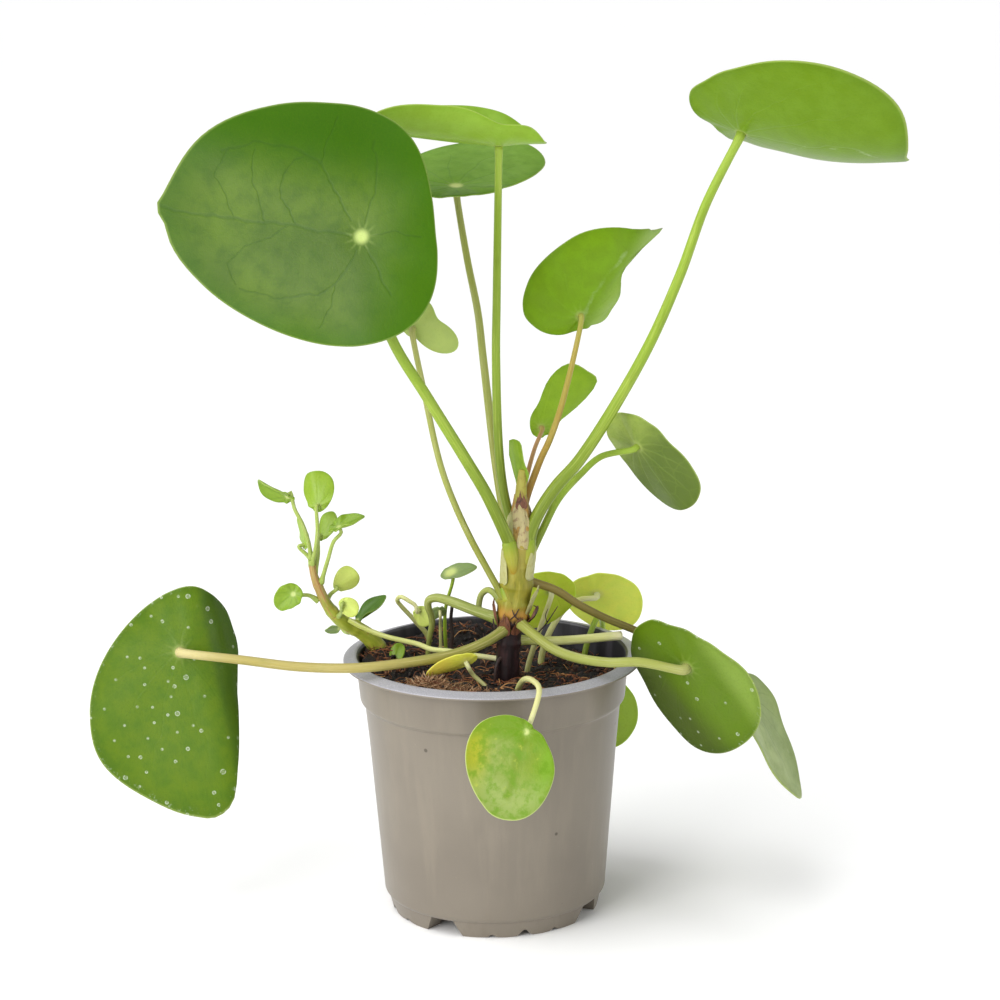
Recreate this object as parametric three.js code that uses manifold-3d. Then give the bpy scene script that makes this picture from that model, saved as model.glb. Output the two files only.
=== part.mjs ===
// A pilea in a tapered nursery pot: millimetres, +Z up, the photographed front faces -Y.
// The origin is the middle of the pot's foot circle, on the surface that the pot stands on.
import * as THREE from 'three';
import { mergeVertices } from 'three/addons/utils/BufferGeometryUtils.js';
import Module from 'manifold-3d';

const wasm = await Module();
wasm.setup();

// ---------- driving dimensions ----------
const GAP = 0.3; // clearance between pieces that touch
const TOUCH = 0.001; // cubic millimetres that count as a clash
const LIP_RADIUS = 60;
const LIP_EDGE_HEIGHT = 104.4;
const LIP_INNER_RADIUS = 55.2;
const LIP_TOP_HEIGHT = 106;
const LIP_THICKNESS = 1.1;
const WALL = 1.1;
const COLLAR_TOP_RADIUS = 54.8;
const COLLAR_BOTTOM_RADIUS = 53.4;
const COLLAR_STEP_HEIGHT = 88;
const BODY_TOP_RADIUS = 51.6;
const BODY_BOTTOM_RADIUS = 45;
const FOOT_HEIGHT = 6.5;
const FOOT_OUTER_RADIUS = 42;
const FOOT_INNER_RADIUS = 34.5;
const FOOT_GAP_DEGREES = 13;
const FOOT_GAP_CENTRES = [-29, 61, 151, 241];
const FOOT_NOTCHES = [[-17.8, 3, 1.4], [0, 4.2, 3], [17.8, 3, 1.4]]; // degrees, width, depth
const POT_SIDES = 48;
const DRAIN_RADIUS = 3.5;
const DRAIN_CIRCLE_RADIUS = 24;
const DRAIN_COUNT = 8;
const DRAIN_SIDES = 8;

const SOIL_LEVEL = 95.5;
const SOIL_BUMP = 0.9;
const SOIL_HEAPS = [ // x, y, height, spread
  [-46, 8, 9.5, 15],
  [-22, -42, 5.5, 15],
  [6, -18, 3.5, 12],
  [18, -44, 3, 12],
];
const SOIL_SPOKES = 30;
const SOIL_RINGS = 6;

const LARGE_BLADE = 0.8;
const SMALL_BLADE = 0.6;
const LARGE_SPOKES = 24;
const LARGE_RINGS = 3;
const SMALL_SPOKES = 12;
const SMALL_RINGS = 2;
const TIP_SPREAD = 0.16; // radians over which a pointed tip stands out
const NECK = 3; // length over which a stalk turns square to its blade

const STALK_SIDES = 6;
const STEM_SIDES = 10;

const GREEN = { deep: '#4f7a2e', fresh: '#78a02c', grey: '#64823c', bright: '#96be3c', pale: '#a9bf63' };
const STALK = { green: '#9db545', pale: '#cfc684', red: '#b98a4a', brown: '#8f8448' };

// Main stem: centre line and radius, from the soil to the crown.
const STEM_LINE = [
  [5.5, -18, 84, 4.6], [6, -18, 102, 4.7], [6.5, -18, 114, 4.6], [7.5, -18, 121, 4.8],
  [8.5, -18, 126, 6.2], [9.5, -18, 134, 6.2], [10, -18, 139, 6.5], [10.5, -18, 147, 5.8],
  [11, -18, 154, 6], [11.5, -18, 162, 4.8], [12, -18, 169, 3.6], [12, -18, 175, 2.4],
];

// Reach of an egg-shaped blade from its dot, every 45 degrees from the tip.
function oval(length, width, dotShare) {
  const samples = 96;
  const found = [];
  for (let i = 0; i <= samples; i += 1) {
    const turn = (Math.PI * i) / samples;
    const along = length * (0.5 * Math.cos(turn) + 0.5 - dotShare);
    const across = width * 0.5 * Math.sin(turn) * (1 - 0.08 * Math.cos(turn));
    found.push([Math.atan2(across, along), Math.hypot(across, along)]);
  }
  const half = [0, 45, 90, 135, 180].map((degrees) => {
    const angle = THREE.MathUtils.degToRad(degrees);
    return found.reduce((best, item) => (
      Math.abs(item[0] - angle) < Math.abs(best[0] - angle) ? item : best))[1];
  });
  return [...half, half[3], half[2], half[1]];
}

// Leaves. dot: where the stalk meets the blade. face: which way the upper side looks, as
// degrees round from the front and degrees up. roll: degrees that the tip is turned from
// straight down the slope. reach: blade from dot to edge every 45 degrees from the tip.
// folds: [toward, from, turn, over], the blade turns up by 'turn' degrees within 'over' mm,
// 'from' mm off the dot, toward that side. stalk: centre line from its root; thick: its radii.
const LEAVES = [
  {
    name: 'big_left', dot: [-46, -62, 283], face: [-12, 18], roll: -101, tip: 2,
    reach: [77, 51, 41, 37, 29.5, 31, 45.5, 60], folds: [[90, 10, -12, 30], [-90, 10, -12, 30],
      [180, 10, -10, 20]],
    stalk: [[9, -20.5, 152], [5, -26, 163], [-1.5, -31, 178.5], [-9, -36, 193], [-23, -43, 218.5],
      [-36.5, -48, 243.5]],
    thick: [2.5, 1.8], colour: GREEN.deep, stalkColour: STALK.green, large: true,
  },
  {
    name: 'top_bowl', dot: [5, -6, 311], face: [180, 84], roll: 90, tip: 1,
    reach: [56, 30, 15.5, 18, 18.5, 17, 20.5, 31], folds: [[90, 0, 65, 16], [-90, 0, 65, 16],
      [0, 0, 8, 20]],
    stalk: [[9, -16, 162], [6, -14.5, 172], [3.8, -13, 190], [3, -12, 227.5], [3.5, -11, 250.5],
      [4.5, -8, 289]],
    thick: [1.9, 1.4], colour: GREEN.fresh, stalkColour: STALK.green, large: true,
  },
  {
    name: 'top_flat', dot: [-12, 22, 292], face: [4, 77], roll: 156, tip: 1,
    reach: [56, 40, 28, 21, 15, 15.5, 18, 38], folds: [[90, 5, -6, 25], [-90, 5, -6, 25]],
    stalk: [[8.5, -13, 154], [5.5, -9, 165], [2.5, -6, 184], [-2, 3, 224.5], [-4, 8, 243], [-8, 14, 263.5]],
    thick: [1.8, 1.3], colour: GREEN.grey, stalkColour: STALK.green, large: true,
  },
  {
    name: 'upper_right', dot: [100.5, 15, 312.5], face: [138, 55], roll: -71, tip: 2,
    reach: [68, 49.5, 24, 14, 14, 24, 36, 62], folds: [[90, 0, 36, 28], [-90, 0, 16, 15], [0, 20, 16, 30]],
    stalk: [[14, -19, 154], [18, -20, 166], [25.5, -20, 178], [35.5, -18, 189], [60.5, -8, 227.5],
      [75, 1, 257], [86, 8, 285]],
    thick: [2.6, 1.7], colour: GREEN.fresh, stalkColour: STALK.green, large: true,
  },
  {
    name: 'folded_tip', dot: [36, 8, 241], face: [-163, -2], roll: -145, tip: 12,
    reach: [33, 11.5, 6.5, 6, 8, 17.5, 23, 32], folds: [[90, 0, 45, 10], [-90, 0, 20, 20],
      [0, 24, 20, 14]], sweep: [24, 21, 10],
    stalk: [[12.5, -17.5, 168], [15, -15, 175], [20, -10, 187], [24, -7, 195], [29, -2, 208.5]],
    thick: [1.5, 1], colour: GREEN.fresh, stalkColour: STALK.red, large: true,
  },
  {
    name: 'curled', dot: [20.5, 17, 194.5], face: [-165, 0], roll: -138, tip: 1,
    reach: [27, 9.5, 4, 3.5, 3.5, 3.5, 4.5, 12], folds: [[90, 0, 30, 8], [-90, 0, 30, 8]],
    stalk: [[11.5, -15, 166], [14, -9, 177.5], [18, 5, 188.5]],
    thick: [1, 0.8], colour: GREEN.fresh, stalkColour: STALK.red, large: false,
  },
  {
    name: 'right_middle', dot: [59, -3, 191], face: [136, 25], roll: -47, tip: 0,
    reach: [32.5, 28, 13.5, 14, 14.5, 14.5, 15, 20], folds: [[90, 0, 10, 20], [-90, 0, 10, 20]],
    stalk: [[14, -14.5, 146], [20, -12, 158], [27, -9.5, 171], [35.5, -7, 180], [44, -5.5, 187]],
    thick: [1.6, 1.2], colour: GREEN.grey, stalkColour: STALK.green, large: true,
  },
  {
    name: 'behind_left', dot: [-28.5, -26, 242.5], face: [171, 5], roll: -65, tip: 0,
    reach: [18.5, 5, 3.5, 4, 6, 10, 12, 10.5], folds: [[90, 0, 14, 8], [-90, 0, 14, 8]],
    stalk: [[6, -19, 131], [-2, -20, 146.5], [-7.5, -21, 157.5], [-13.5, -22, 171.5], [-19, -23, 188],
      [-25, -24, 218]],
    thick: [1.4, 1.1], colour: GREEN.pale, stalkColour: STALK.green, large: false,
  },
  {
    name: 'low_left', dot: [-125.5, 0, 107.5], face: [178, -8], roll: -11, tip: 0,
    reach: [67, 52, 34.5, 26, 25, 28, 30, 27.5], folds: [[-90, 4, 60, 16]],
    stalk: [[7, -20, 122], [-2.5, -26.5, 117.5], [-14.5, -30.5, 114], [-36, -33, 111],
      [-53, -33, 109.5], [-75.5, -25.5, 108], [-100, -13, 107.5]],
    thick: [2.1, 1.8], colour: GREEN.fresh, stalkColour: STALK.pale, large: true,
  },
  {
    name: 'low_right', dot: [76.5, -34.5, 109], face: [150, 14], roll: -32, tip: 0,
    reach: [39, 38.5, 28, 25.5, 22, 16, 19.5, 32.5], folds: [[90, 0, 20, 15], [-90, 0, -10, 20]],
    stalk: [[9.5, -20, 125], [16, -27.5, 121], [24.5, -33, 116], [33.5, -36.5, 113.5], [45.5, -38, 112],
      [57.5, -38, 112]],
    thick: [2.1, 1.8], colour: GREEN.fresh, stalkColour: STALK.green, large: true,
  },
  {
    name: 'far_right', dot: [105.5, 12, 81], face: [72, 28], roll: 0, tip: 3,
    reach: [43, 28, 21, 13, 8, 12, 20, 28], folds: [[90, 0, 8, 20], [-90, 0, 8, 20]],
    stalk: [[13, -16, 140], [25.5, -10, 134], [34.5, -6, 127], [45.5, -2, 120], [58, 2, 113.5],
      [80, 6, 102], [97, 9, 89.5]],
    thick: [1.7, 1.4], colour: GREEN.grey, stalkColour: STALK.brown, large: true,
  },
  {
    name: 'yellow_back', dot: [44, 46, 118], face: [174, 32], roll: -26, tip: 0,
    reach: [25, 20, 15, 12, 11, 12, 15, 20], folds: [[90, 0, 8, 10], [-90, 0, 8, 10]],
    stalk: [[20, 16, 84], [20, 16, 98], [23, 18, 107.5], [30, 27, 116], [37, 38, 117]],
    thick: [1.4, 1.1], colour: GREEN.pale, stalkColour: STALK.pale, large: true,
  },
  {
    name: 'back_bright', dot: [24, 9, 129], face: [-175, 25], roll: 30, tip: 0,
    reach: oval(31, 25, 0.3), folds: [[90, 0, 10, 8], [-90, 0, 10, 8]],
    stalk: [[14, 0, 84], [14, 0, 97], [17, 1, 108], [21, 3, 119]],
    thick: [1.2, 1], colour: GREEN.bright, stalkColour: STALK.green, large: false,
  },
  {
    name: 'front', dot: [12.7, -72, 95], face: [-8, 10], roll: -8, tip: 0,
    reach: [34, 18, 6.5, 4, 4, 6.5, 18, 26.5], folds: [[90, 5, 8, 15], [-90, 5, 8, 15]],
    stalk: [[9.5, -36, 84], [9.5, -38, 99], [12, -46, 107.5], [15.5, -56, 110.5], [18, -64.5, 109]],
    thick: [1.3, 1], colour: GREEN.pale, stalkColour: STALK.pale, large: true,
  },
  {
    name: 'behind_pot', dot: [46, 56, 68.5], face: [150, 8], roll: 0, tip: 0,
    reach: oval(36, 32, 0.35), folds: [[90, 0, 14, 10], [-90, 0, 14, 10]],
    stalk: [[38, 24, 84], [38, 24, 97], [41, 29, 106], [44, 37, 109.5], [46, 44, 106], [46.5, 49, 95],
      [46.2, 52, 80]],
    thick: [1.3, 1], colour: GREEN.fresh, stalkColour: STALK.green, large: false,
  },
  {
    name: 'in_pot_yellow', dot: [-10.5, -33, 112], face: [-150, 40], roll: 75, tip: 1,
    reach: oval(21, 11, 0.25), folds: [[90, 0, 16, 5], [-90, 0, 16, 5]],
    stalk: [[-1, -31, 88], [-1, -31, 98], [-7.5, -32, 106]],
    thick: [1, 0.8], colour: '#d9c63c', stalkColour: STALK.pale, large: false,
  },
  {
    name: 'thin_left', dot: [-16.5, 12, 136], face: [-40, 60], roll: 120, tip: 1,
    reach: oval(15, 9, 0.3), folds: [[90, 0, 14, 4], [-90, 0, 14, 4]],
    stalk: [[-19, 24, 84], [-19, 24, 96], [-19, 19, 118]],
    thick: [0.8, 0.7], colour: GREEN.grey, stalkColour: STALK.green, large: false,
  },
];

// Young offshoot at the left rim: its stem, and leaves whose stalks grow from it.
const OFFSHOOT_LINE = [
  [-43.5, 13, 88, 3.8], [-45, 12.5, 99, 3.8], [-48.5, 11.5, 107.5, 3.6], [-54, 9.5, 113, 3.2],
  [-59.5, 6, 117, 2.9], [-64, 3, 122.5, 2.5], [-67, 0, 128.5, 2.1], [-69, -1.5, 134, 1.9],
  [-70.5, -2.5, 138.5, 1.6], [-71.5, -3, 144, 1.4],
];
const OFFSHOOT_STALK = [1, 0.8];
const OFFSHOOT_STALK_SIDES = 5;
const OFFSHOOT_STALK_STEPS = 5;
const OFFSHOOT_DARK_LEAF = 9;
const OFFSHOOT_LEAVES = [
  {
    dot: [-80.5, -4, 171.5], face: [-33, -41], roll: -127, size: [17, 11, 0.2],
    stalk: [[-71.5, -3.5, 146], [-72.5, -6, 154.5], [-74.5, -7, 161.5], [-77.5, -6, 167.5]],
  },
  {
    dot: [-68, -4, 168], face: [165, -12], roll: 174, size: [16.5, 13, 0.15],
    stalk: [[-71.5, -3, 143.5], [-69.5, -7, 151.5], [-68.5, -8, 159]],
  },
  {
    dot: [-67.5, 2, 154], face: [156, -23], roll: -162, size: [13, 7.5, 0.15],
    stalk: [[-70.5, -2.5, 139.5], [-69, -1, 147]],
  },
  {
    dot: [-60, -10, 161], face: [-50, 65], roll: 147, size: [16, 10, 0.3],
    stalk: [[-68, -2, 136], [-64.5, -8, 147.5], [-62, -10, 155]],
  },
  {
    dot: [-74, 1, 151], face: [118, 7], roll: 162, size: [13.5, 8, 0.15],
    stalk: [[-71.5, -3, 143], [-72.5, -1, 146]],
  },
  {
    dot: [-79, -6, 132.5], face: [-9, 25], roll: -53, size: [12.5, 10.5, 0.3],
    stalk: [[-69.5, 0, 128], [-73, -1, 130.5]],
  },
  {
    dot: [-62.5, 5, 132.5], face: [-169, 4], roll: -123, size: [11.5, 10, 0.1],
    stalk: [[-66.5, 0.5, 127.5], [-64.5, 3, 130]],
  },
  {
    dot: [-59, -5, 128.5], face: [166, 1], roll: -46, size: [9, 8, 0.2],
    stalk: [[-62, 3, 120.5], [-60, -3, 124]],
  },
  {
    dot: [-55, 14, 116], face: [-61, 51], roll: 165, size: [17, 10, 0.08],
    stalk: [[-58, 7, 115], [-56, 12, 115]],
  },
  {
    dot: [-62, 15, 112], face: [9, -36], roll: -79, size: [7, 5, 0.1],
    stalk: [[-58, 9, 112.5], [-60, 13, 111.5]],
  },
];

// Bare stalks without a blade: centre lines, with the radii of both ends.
const CUT_STUB = { line: [[9, -15, 115], [27, -8, 112.5], [52, 2, 111.5]], thick: [1.8, 1.8] };
const BENT_STALK = {
  line: [[3.5, -18, 124.5], [-6.5, -14, 127], [-16, -9, 129.5], [-22, -5, 130],
    [-25, -3, 128.5], [-25.5, -2, 126], [-24.5, 0, 122], [-24, 2, 118],
    [-25, 5, 112], [-26, 8, 104], [-26, 9, 86]],
  thick: [2.2, 2.1, 1.4, 1, 1],
};
const ARCHED_STALK = { line: [[4.5, -13, 128.5], [1, -10, 133], [-1.5, -7, 133.5],
  [-4, -5, 131], [-5, -5, 127], [-5, -7, 124]], thick: [1.3, 1.2] };
const RUNNER = { line: [[-57.5, 3, 119], [-53, 1, 117], [-43, -2, 113.5],
  [-29.5, -4, 110.5], [-24.5, -6, 109], [-17.5, -9, 109], [-7.5, -12, 108],
  [3, -16, 107.5]], thick: [1, 1.1] };
const DRY_TWIG = { line: [[-16, 6, 123], [-16.5, 7, 117.5], [-16, 8, 111],
  [-16.5, 9, 106], [-16.5, 9, 88]], thick: [0.7, 0.9] };
const LOOPED = {
  dot: [-29.5, 18, 118.5], face: [163, -3], roll: -32, size: [9, 8, 0.2],
  line: [[-26, 31, 86], [-26, 29, 103], [-32, 24, 113], [-37, 20, 120],
    [-38.5, 18, 123], [-37, 16, 125], [-33, 15, 123],
    [-31, 15, 121.5]], thick: [1.2, 0.8],
};
const PALE_LEAF = {
  dot: [-21, 10, 121], face: [-175, 40], roll: 20, size: [9, 7, 0.3],
  line: [[-21, 18, 86], [-21, 18, 97], [-21, 14, 112]], thick: [0.7, 0.6],
};
const APEX_LEAF = { dot: [11.5, -18.5, 177.5], face: [-25, 9], roll: -168, size: [18, 7.5, 0.06] };
const SPROUT = { dot: [-39.5, 1, 102.4], face: [-10, 30], roll: 165, size: [8.5, 6, 0.1] };

// ---------- solids ----------
function toSolid(geometry) {
  const plain = geometry.clone();
  plain.deleteAttribute('normal');
  plain.deleteAttribute('uv');
  const merged = mergeVertices(plain, 1e-4);
  return new wasm.Manifold(new wasm.Mesh({
    numProp: 3,
    vertProperties: new Float32Array(merged.attributes.position.array),
    triVerts: new Uint32Array(merged.index.array),
  }));
}

function toGeometry(solid) {
  const mesh = solid.getMesh();
  const geometry = new THREE.BufferGeometry();
  geometry.setAttribute('position', new THREE.BufferAttribute(new Float32Array(mesh.vertProperties), 3));
  geometry.setIndex(new THREE.BufferAttribute(new Uint32Array(mesh.triVerts), 1));
  geometry.computeVertexNormals();
  return geometry;
}

function largest(solid) {
  return solid.decompose().reduce((best, piece) => (piece.volume() > best.volume() ? piece : best));
}

// A round bar whose centre line runs through the points; radii are spread along its length.
function bar(points, radii, sides, steps) {
  const curve = new THREE.CatmullRomCurve3(points.map((p) => new THREE.Vector3(p[0], p[1], p[2])), false,
    'centripetal');
  const frames = curve.computeFrenetFrames(steps, false);
  const geometry = new THREE.CylinderGeometry(1, 1, 1, sides, steps);
  const position = geometry.attributes.position;
  for (let i = 0; i < position.count; i += 1) {
    const step = Math.round((position.getY(i) + 0.5) * steps);
    const share = step / steps;
    const slot = share * (radii.length - 1);
    const low = Math.min(Math.floor(slot), radii.length - 2);
    const radius = THREE.MathUtils.lerp(radii[low], radii[low + 1], slot - low);
    const spot = curve.getPointAt(share);
    spot.addScaledVector(frames.binormals[step], position.getX(i) * radius);
    spot.addScaledVector(frames.normals[step], position.getZ(i) * radius);
    position.setXYZ(i, spot.x, spot.y, spot.z);
  }
  return geometry;
}

// A bar whose points each carry their own radius as a fourth number.
function shapedBar(line, sides, steps, grow = 0) {
  const curve = new THREE.CatmullRomCurve3(line.map((p) => new THREE.Vector3(p[0], p[1], p[2])), false,
    'centripetal');
  const lengths = line.map((p, i) => (i ? Math.hypot(p[0] - line[i - 1][0], p[1] - line[i - 1][1],
    p[2] - line[i - 1][2]) : 0));
  const total = lengths.reduce((sum, item) => sum + item, 0);
  const radii = [];
  for (let i = 0; i <= steps; i += 1) {
    let left = (i / steps) * total;
    let k = 1;
    while (k < line.length - 1 && left > lengths[k]) {
      left -= lengths[k];
      k += 1;
    }
    radii.push(grow + THREE.MathUtils.lerp(line[k - 1][3], line[k][3], Math.min(left / lengths[k], 1)));
  }
  return bar(curve.getSpacedPoints(steps).map((p) => p.toArray()), radii, sides, steps);
}

// A disc on a polar grid whose top and under side follow two surfaces; both sides share one
// pattern of triangles.
function polarSolid(spokes, rings, top, under) {
  const points = [];
  const addSide = (surface) => {
    points.push(...surface(0, 0));
    for (let r = 1; r <= rings; r += 1) {
      for (let s = 0; s < spokes; s += 1) {
        points.push(...surface(r / rings, (2 * Math.PI * s) / spokes));
      }
    }
  };
  addSide(top);
  addSide(under);
  const half = 1 + spokes * rings;
  const at = (r, s) => (r ? 1 + (r - 1) * spokes + (s % spokes) : 0);
  const faces = [];
  for (let s = 0; s < spokes; s += 1) {
    faces.push([0, at(1, s), at(1, s + 1)]);
    for (let r = 1; r < rings; r += 1) {
      faces.push([at(r, s), at(r + 1, s), at(r + 1, s + 1)]);
      faces.push([at(r, s), at(r + 1, s + 1), at(r, s + 1)]);
    }
  }
  const index = faces.flat();
  faces.forEach((face) => index.push(face[0] + half, face[2] + half, face[1] + half));
  for (let s = 0; s < spokes; s += 1) {
    const a = at(rings, s);
    const b = at(rings, s + 1);
    index.push(a, a + half, b + half, a, b + half, b);
  }
  const geometry = new THREE.BufferGeometry();
  geometry.setAttribute('position', new THREE.Float32BufferAttribute(points, 3));
  geometry.setIndex(index);
  geometry.computeVertexNormals();
  return geometry;
}

// ---------- leaves ----------
function reachAt(reach, tip, angle) {
  const count = reach.length;
  const slot = (angle / (2 * Math.PI)) * count;
  const i = Math.floor(slot) % count;
  const t = slot - Math.floor(slot);
  const [a, b, c, d] = [-1, 0, 1, 2].map((k) => reach[(i + k + count) % count]);
  const bend = (2 * a - 5 * b + 4 * c - d) * t * t;
  const twist = (3 * b - a - 3 * c + d) * t * t * t;
  const smooth = 0.5 * (2 * b + (c - a) * t + bend + twist);
  const fromTip = Math.min(angle, 2 * Math.PI - angle);
  return smooth + tip * Math.exp(-((fromTip / TIP_SPREAD) ** 2));
}

// Where a flat point of the blade lies once the blade is folded: an arc, then a straight run.
function folded(a, b, folds) {
  const out = new THREE.Vector3(a, b, 0);
  folds.forEach(([toward, from, turn, over]) => {
    const side = THREE.MathUtils.degToRad(toward);
    const angle = THREE.MathUtils.degToRad(turn);
    const away = Math.max(a * Math.cos(side) + b * Math.sin(side) - from, 0);
    const curved = Math.min(away, over);
    const bend = angle / over;
    const along = Math.sin(bend * curved) / bend + (away - curved) * Math.cos(angle);
    const up = (1 - Math.cos(bend * curved)) / bend + (away - curved) * Math.sin(angle);
    out.x += (along - away) * Math.cos(side);
    out.y += (along - away) * Math.sin(side);
    out.z += up;
  });
  return out;
}

function leafBasis(leaf) {
  const [round, up] = leaf.face.map(THREE.MathUtils.degToRad);
  const roll = THREE.MathUtils.degToRad(leaf.roll);
  const normal = new THREE.Vector3(Math.cos(up) * Math.sin(round), -Math.cos(up) * Math.cos(round),
    Math.sin(up));
  const down = new THREE.Vector3(Math.sin(up) * Math.sin(round), -Math.sin(up) * Math.cos(round),
    -Math.cos(up));
  const side = new THREE.Vector3().crossVectors(normal, down);
  const toTip = down.multiplyScalar(Math.cos(roll)).addScaledVector(side, Math.sin(roll));
  const across = new THREE.Vector3().crossVectors(normal, toTip);
  return { normal, matrix: new THREE.Matrix4().makeBasis(toTip, across, normal).setPosition(...leaf.dot) };
}

function bladeGeometry(leaf, thickness, spokes, rings, grow = 0) {
  const nudge = 0.05;
  const surface = (depth) => (share, angle) => {
    const radius = (reachAt(leaf.reach, leaf.tip ?? 0, angle) + grow) * share;
    const a = radius * Math.cos(angle);
    const [from, over, aside] = leaf.sweep ?? [0, 1, 0];
    const b = radius * Math.sin(angle) + aside * (Math.max(a - from, 0) / over) ** 2;
    const spot = folded(a, b, leaf.folds);
    const alongA = folded(a + nudge, b, leaf.folds).sub(folded(a - nudge, b, leaf.folds));
    const alongB = folded(a, b + nudge, leaf.folds).sub(folded(a, b - nudge, leaf.folds));
    spot.addScaledVector(alongA.cross(alongB).normalize(), -depth);
    return spot.toArray();
  };
  const geometry = polarSolid(spokes, rings, surface(-grow), surface(thickness + grow));
  return geometry.applyMatrix4(leafBasis(leaf).matrix);
}

// The stalk's last points: square to the blade, and clear of its under side.
function stalkEnd(leaf, thickness) {
  const { normal } = leafBasis(leaf);
  return [NECK, thickness + GAP].map((back) => (
    new THREE.Vector3(...leaf.dot).addScaledVector(normal, -back).toArray()));
}

// ---------- pot ----------
function ringSector(inner, outerTop, outerBottom, from, to, bottom, top, segments) {
  const shape = new THREE.Shape();
  const spot = (radius, degrees) => {
    const angle = THREE.MathUtils.degToRad(degrees);
    return [radius * Math.sin(angle), -radius * Math.cos(angle)];
  };
  for (let i = 0; i <= segments; i += 1) {
    const [x, y] = spot(1, from + ((to - from) * i) / segments);
    shape[i ? 'lineTo' : 'moveTo'](x * outerTop, y * outerTop);
  }
  for (let i = segments; i >= 0; i -= 1) {
    const [x, y] = spot(inner, from + ((to - from) * i) / segments);
    shape.lineTo(x, y);
  }
  const geometry = new THREE.ExtrudeGeometry(shape, { depth: top - bottom, bevelEnabled: false });
  const position = geometry.attributes.position;
  for (let i = 0; i < position.count; i += 1) {
    const radius = Math.hypot(position.getX(i), position.getY(i));
    const low = position.getZ(i) < (top - bottom) / 2;
    if (low && radius > (inner + outerBottom) / 2) {
      const squeeze = outerBottom / outerTop;
      position.setXY(i, position.getX(i) * squeeze, position.getY(i) * squeeze);
    }
    position.setZ(i, position.getZ(i) + bottom);
  }
  return geometry;
}

function potSolid() {
  const floorTop = FOOT_HEIGHT + 1.6;
  const profile = [
    [0, FOOT_HEIGHT], [BODY_BOTTOM_RADIUS - 1.2, FOOT_HEIGHT], [BODY_BOTTOM_RADIUS, FOOT_HEIGHT + 1.4],
    [BODY_TOP_RADIUS, COLLAR_STEP_HEIGHT - 1.6], [COLLAR_BOTTOM_RADIUS, COLLAR_STEP_HEIGHT],
    [COLLAR_TOP_RADIUS, LIP_EDGE_HEIGHT - 1.4], [COLLAR_TOP_RADIUS + 1, LIP_EDGE_HEIGHT - 0.7],
    [LIP_RADIUS, LIP_EDGE_HEIGHT - LIP_THICKNESS], [LIP_RADIUS, LIP_EDGE_HEIGHT],
    [LIP_INNER_RADIUS, LIP_TOP_HEIGHT], [COLLAR_TOP_RADIUS - WALL, LIP_TOP_HEIGHT - 0.9],
    [COLLAR_BOTTOM_RADIUS - WALL, COLLAR_STEP_HEIGHT + 1], [BODY_TOP_RADIUS - WALL, COLLAR_STEP_HEIGHT - 2],
    [BODY_BOTTOM_RADIUS - WALL, floorTop + 1], [BODY_BOTTOM_RADIUS - 2.4, floorTop], [0, floorTop],
  ];
  const lathe = new THREE.LatheGeometry(profile.map(([r, z]) => new THREE.Vector2(r, z)), POT_SIDES);
  lathe.rotateX(Math.PI / 2);
  let pot = toSolid(lathe);
  FOOT_GAP_CENTRES.forEach((centre) => {
    const from = centre + FOOT_GAP_DEGREES / 2;
    const to = centre + 90 - FOOT_GAP_DEGREES / 2;
    let foot = toSolid(ringSector(FOOT_INNER_RADIUS, BODY_BOTTOM_RADIUS - 1.2, FOOT_OUTER_RADIUS, from,
      to, 0, FOOT_HEIGHT + 0.8, 10));
    FOOT_NOTCHES.forEach(([turn, width, depth]) => {
      const notch = new THREE.CylinderGeometry(depth, depth, 14, 10);
      notch.scale(width / 2 / depth, 1, 1);
      notch.translate(0, -(FOOT_INNER_RADIUS + FOOT_OUTER_RADIUS) / 2, 0);
      notch.rotateZ(THREE.MathUtils.degToRad(centre + 45 + turn));
      foot = foot.subtract(toSolid(notch));
    });
    pot = pot.add(foot);
  });
  for (let i = 0; i < DRAIN_COUNT; i += 1) {
    const hole = new THREE.CylinderGeometry(DRAIN_RADIUS, DRAIN_RADIUS, 12, DRAIN_SIDES);
    hole.rotateX(Math.PI / 2);
    hole.translate(0, DRAIN_CIRCLE_RADIUS, FOOT_HEIGHT);
    hole.rotateZ((2 * Math.PI * i) / DRAIN_COUNT);
    pot = pot.subtract(toSolid(hole));
  }
  return pot;
}

// ---------- soil ----------
function soilHeight(x, y) {
  const heaps = SOIL_HEAPS.reduce((sum, [cx, cy, height, spread]) => (
    sum + height * Math.exp(-((x - cx) ** 2 + (y - cy) ** 2) / (2 * spread ** 2))), 0);
  const crumbs = Math.sin(x * 0.61 + 1.3) * Math.cos(y * 0.53) + 0.6 * Math.sin(x * 0.27 - y * 0.43 + 2);
  return SOIL_LEVEL + heaps + SOIL_BUMP * crumbs;
}

function potInnerRadius(z) {
  const floorTop = FOOT_HEIGHT + 1.6;
  const stops = [
    [floorTop, BODY_BOTTOM_RADIUS - 2.4], [floorTop + 1, BODY_BOTTOM_RADIUS - WALL],
    [COLLAR_STEP_HEIGHT - 2, BODY_TOP_RADIUS - WALL], [COLLAR_STEP_HEIGHT + 1, COLLAR_BOTTOM_RADIUS - WALL],
    [LIP_TOP_HEIGHT - 0.9, COLLAR_TOP_RADIUS - WALL],
  ];
  const k = Math.max(1, stops.findIndex(([height]) => z <= height));
  const [[z0, r0], [z1, r1]] = [stops[k - 1], stops[k]];
  return THREE.MathUtils.lerp(r0, r1, THREE.MathUtils.clamp((z - z0) / (z1 - z0), 0, 1));
}

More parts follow.
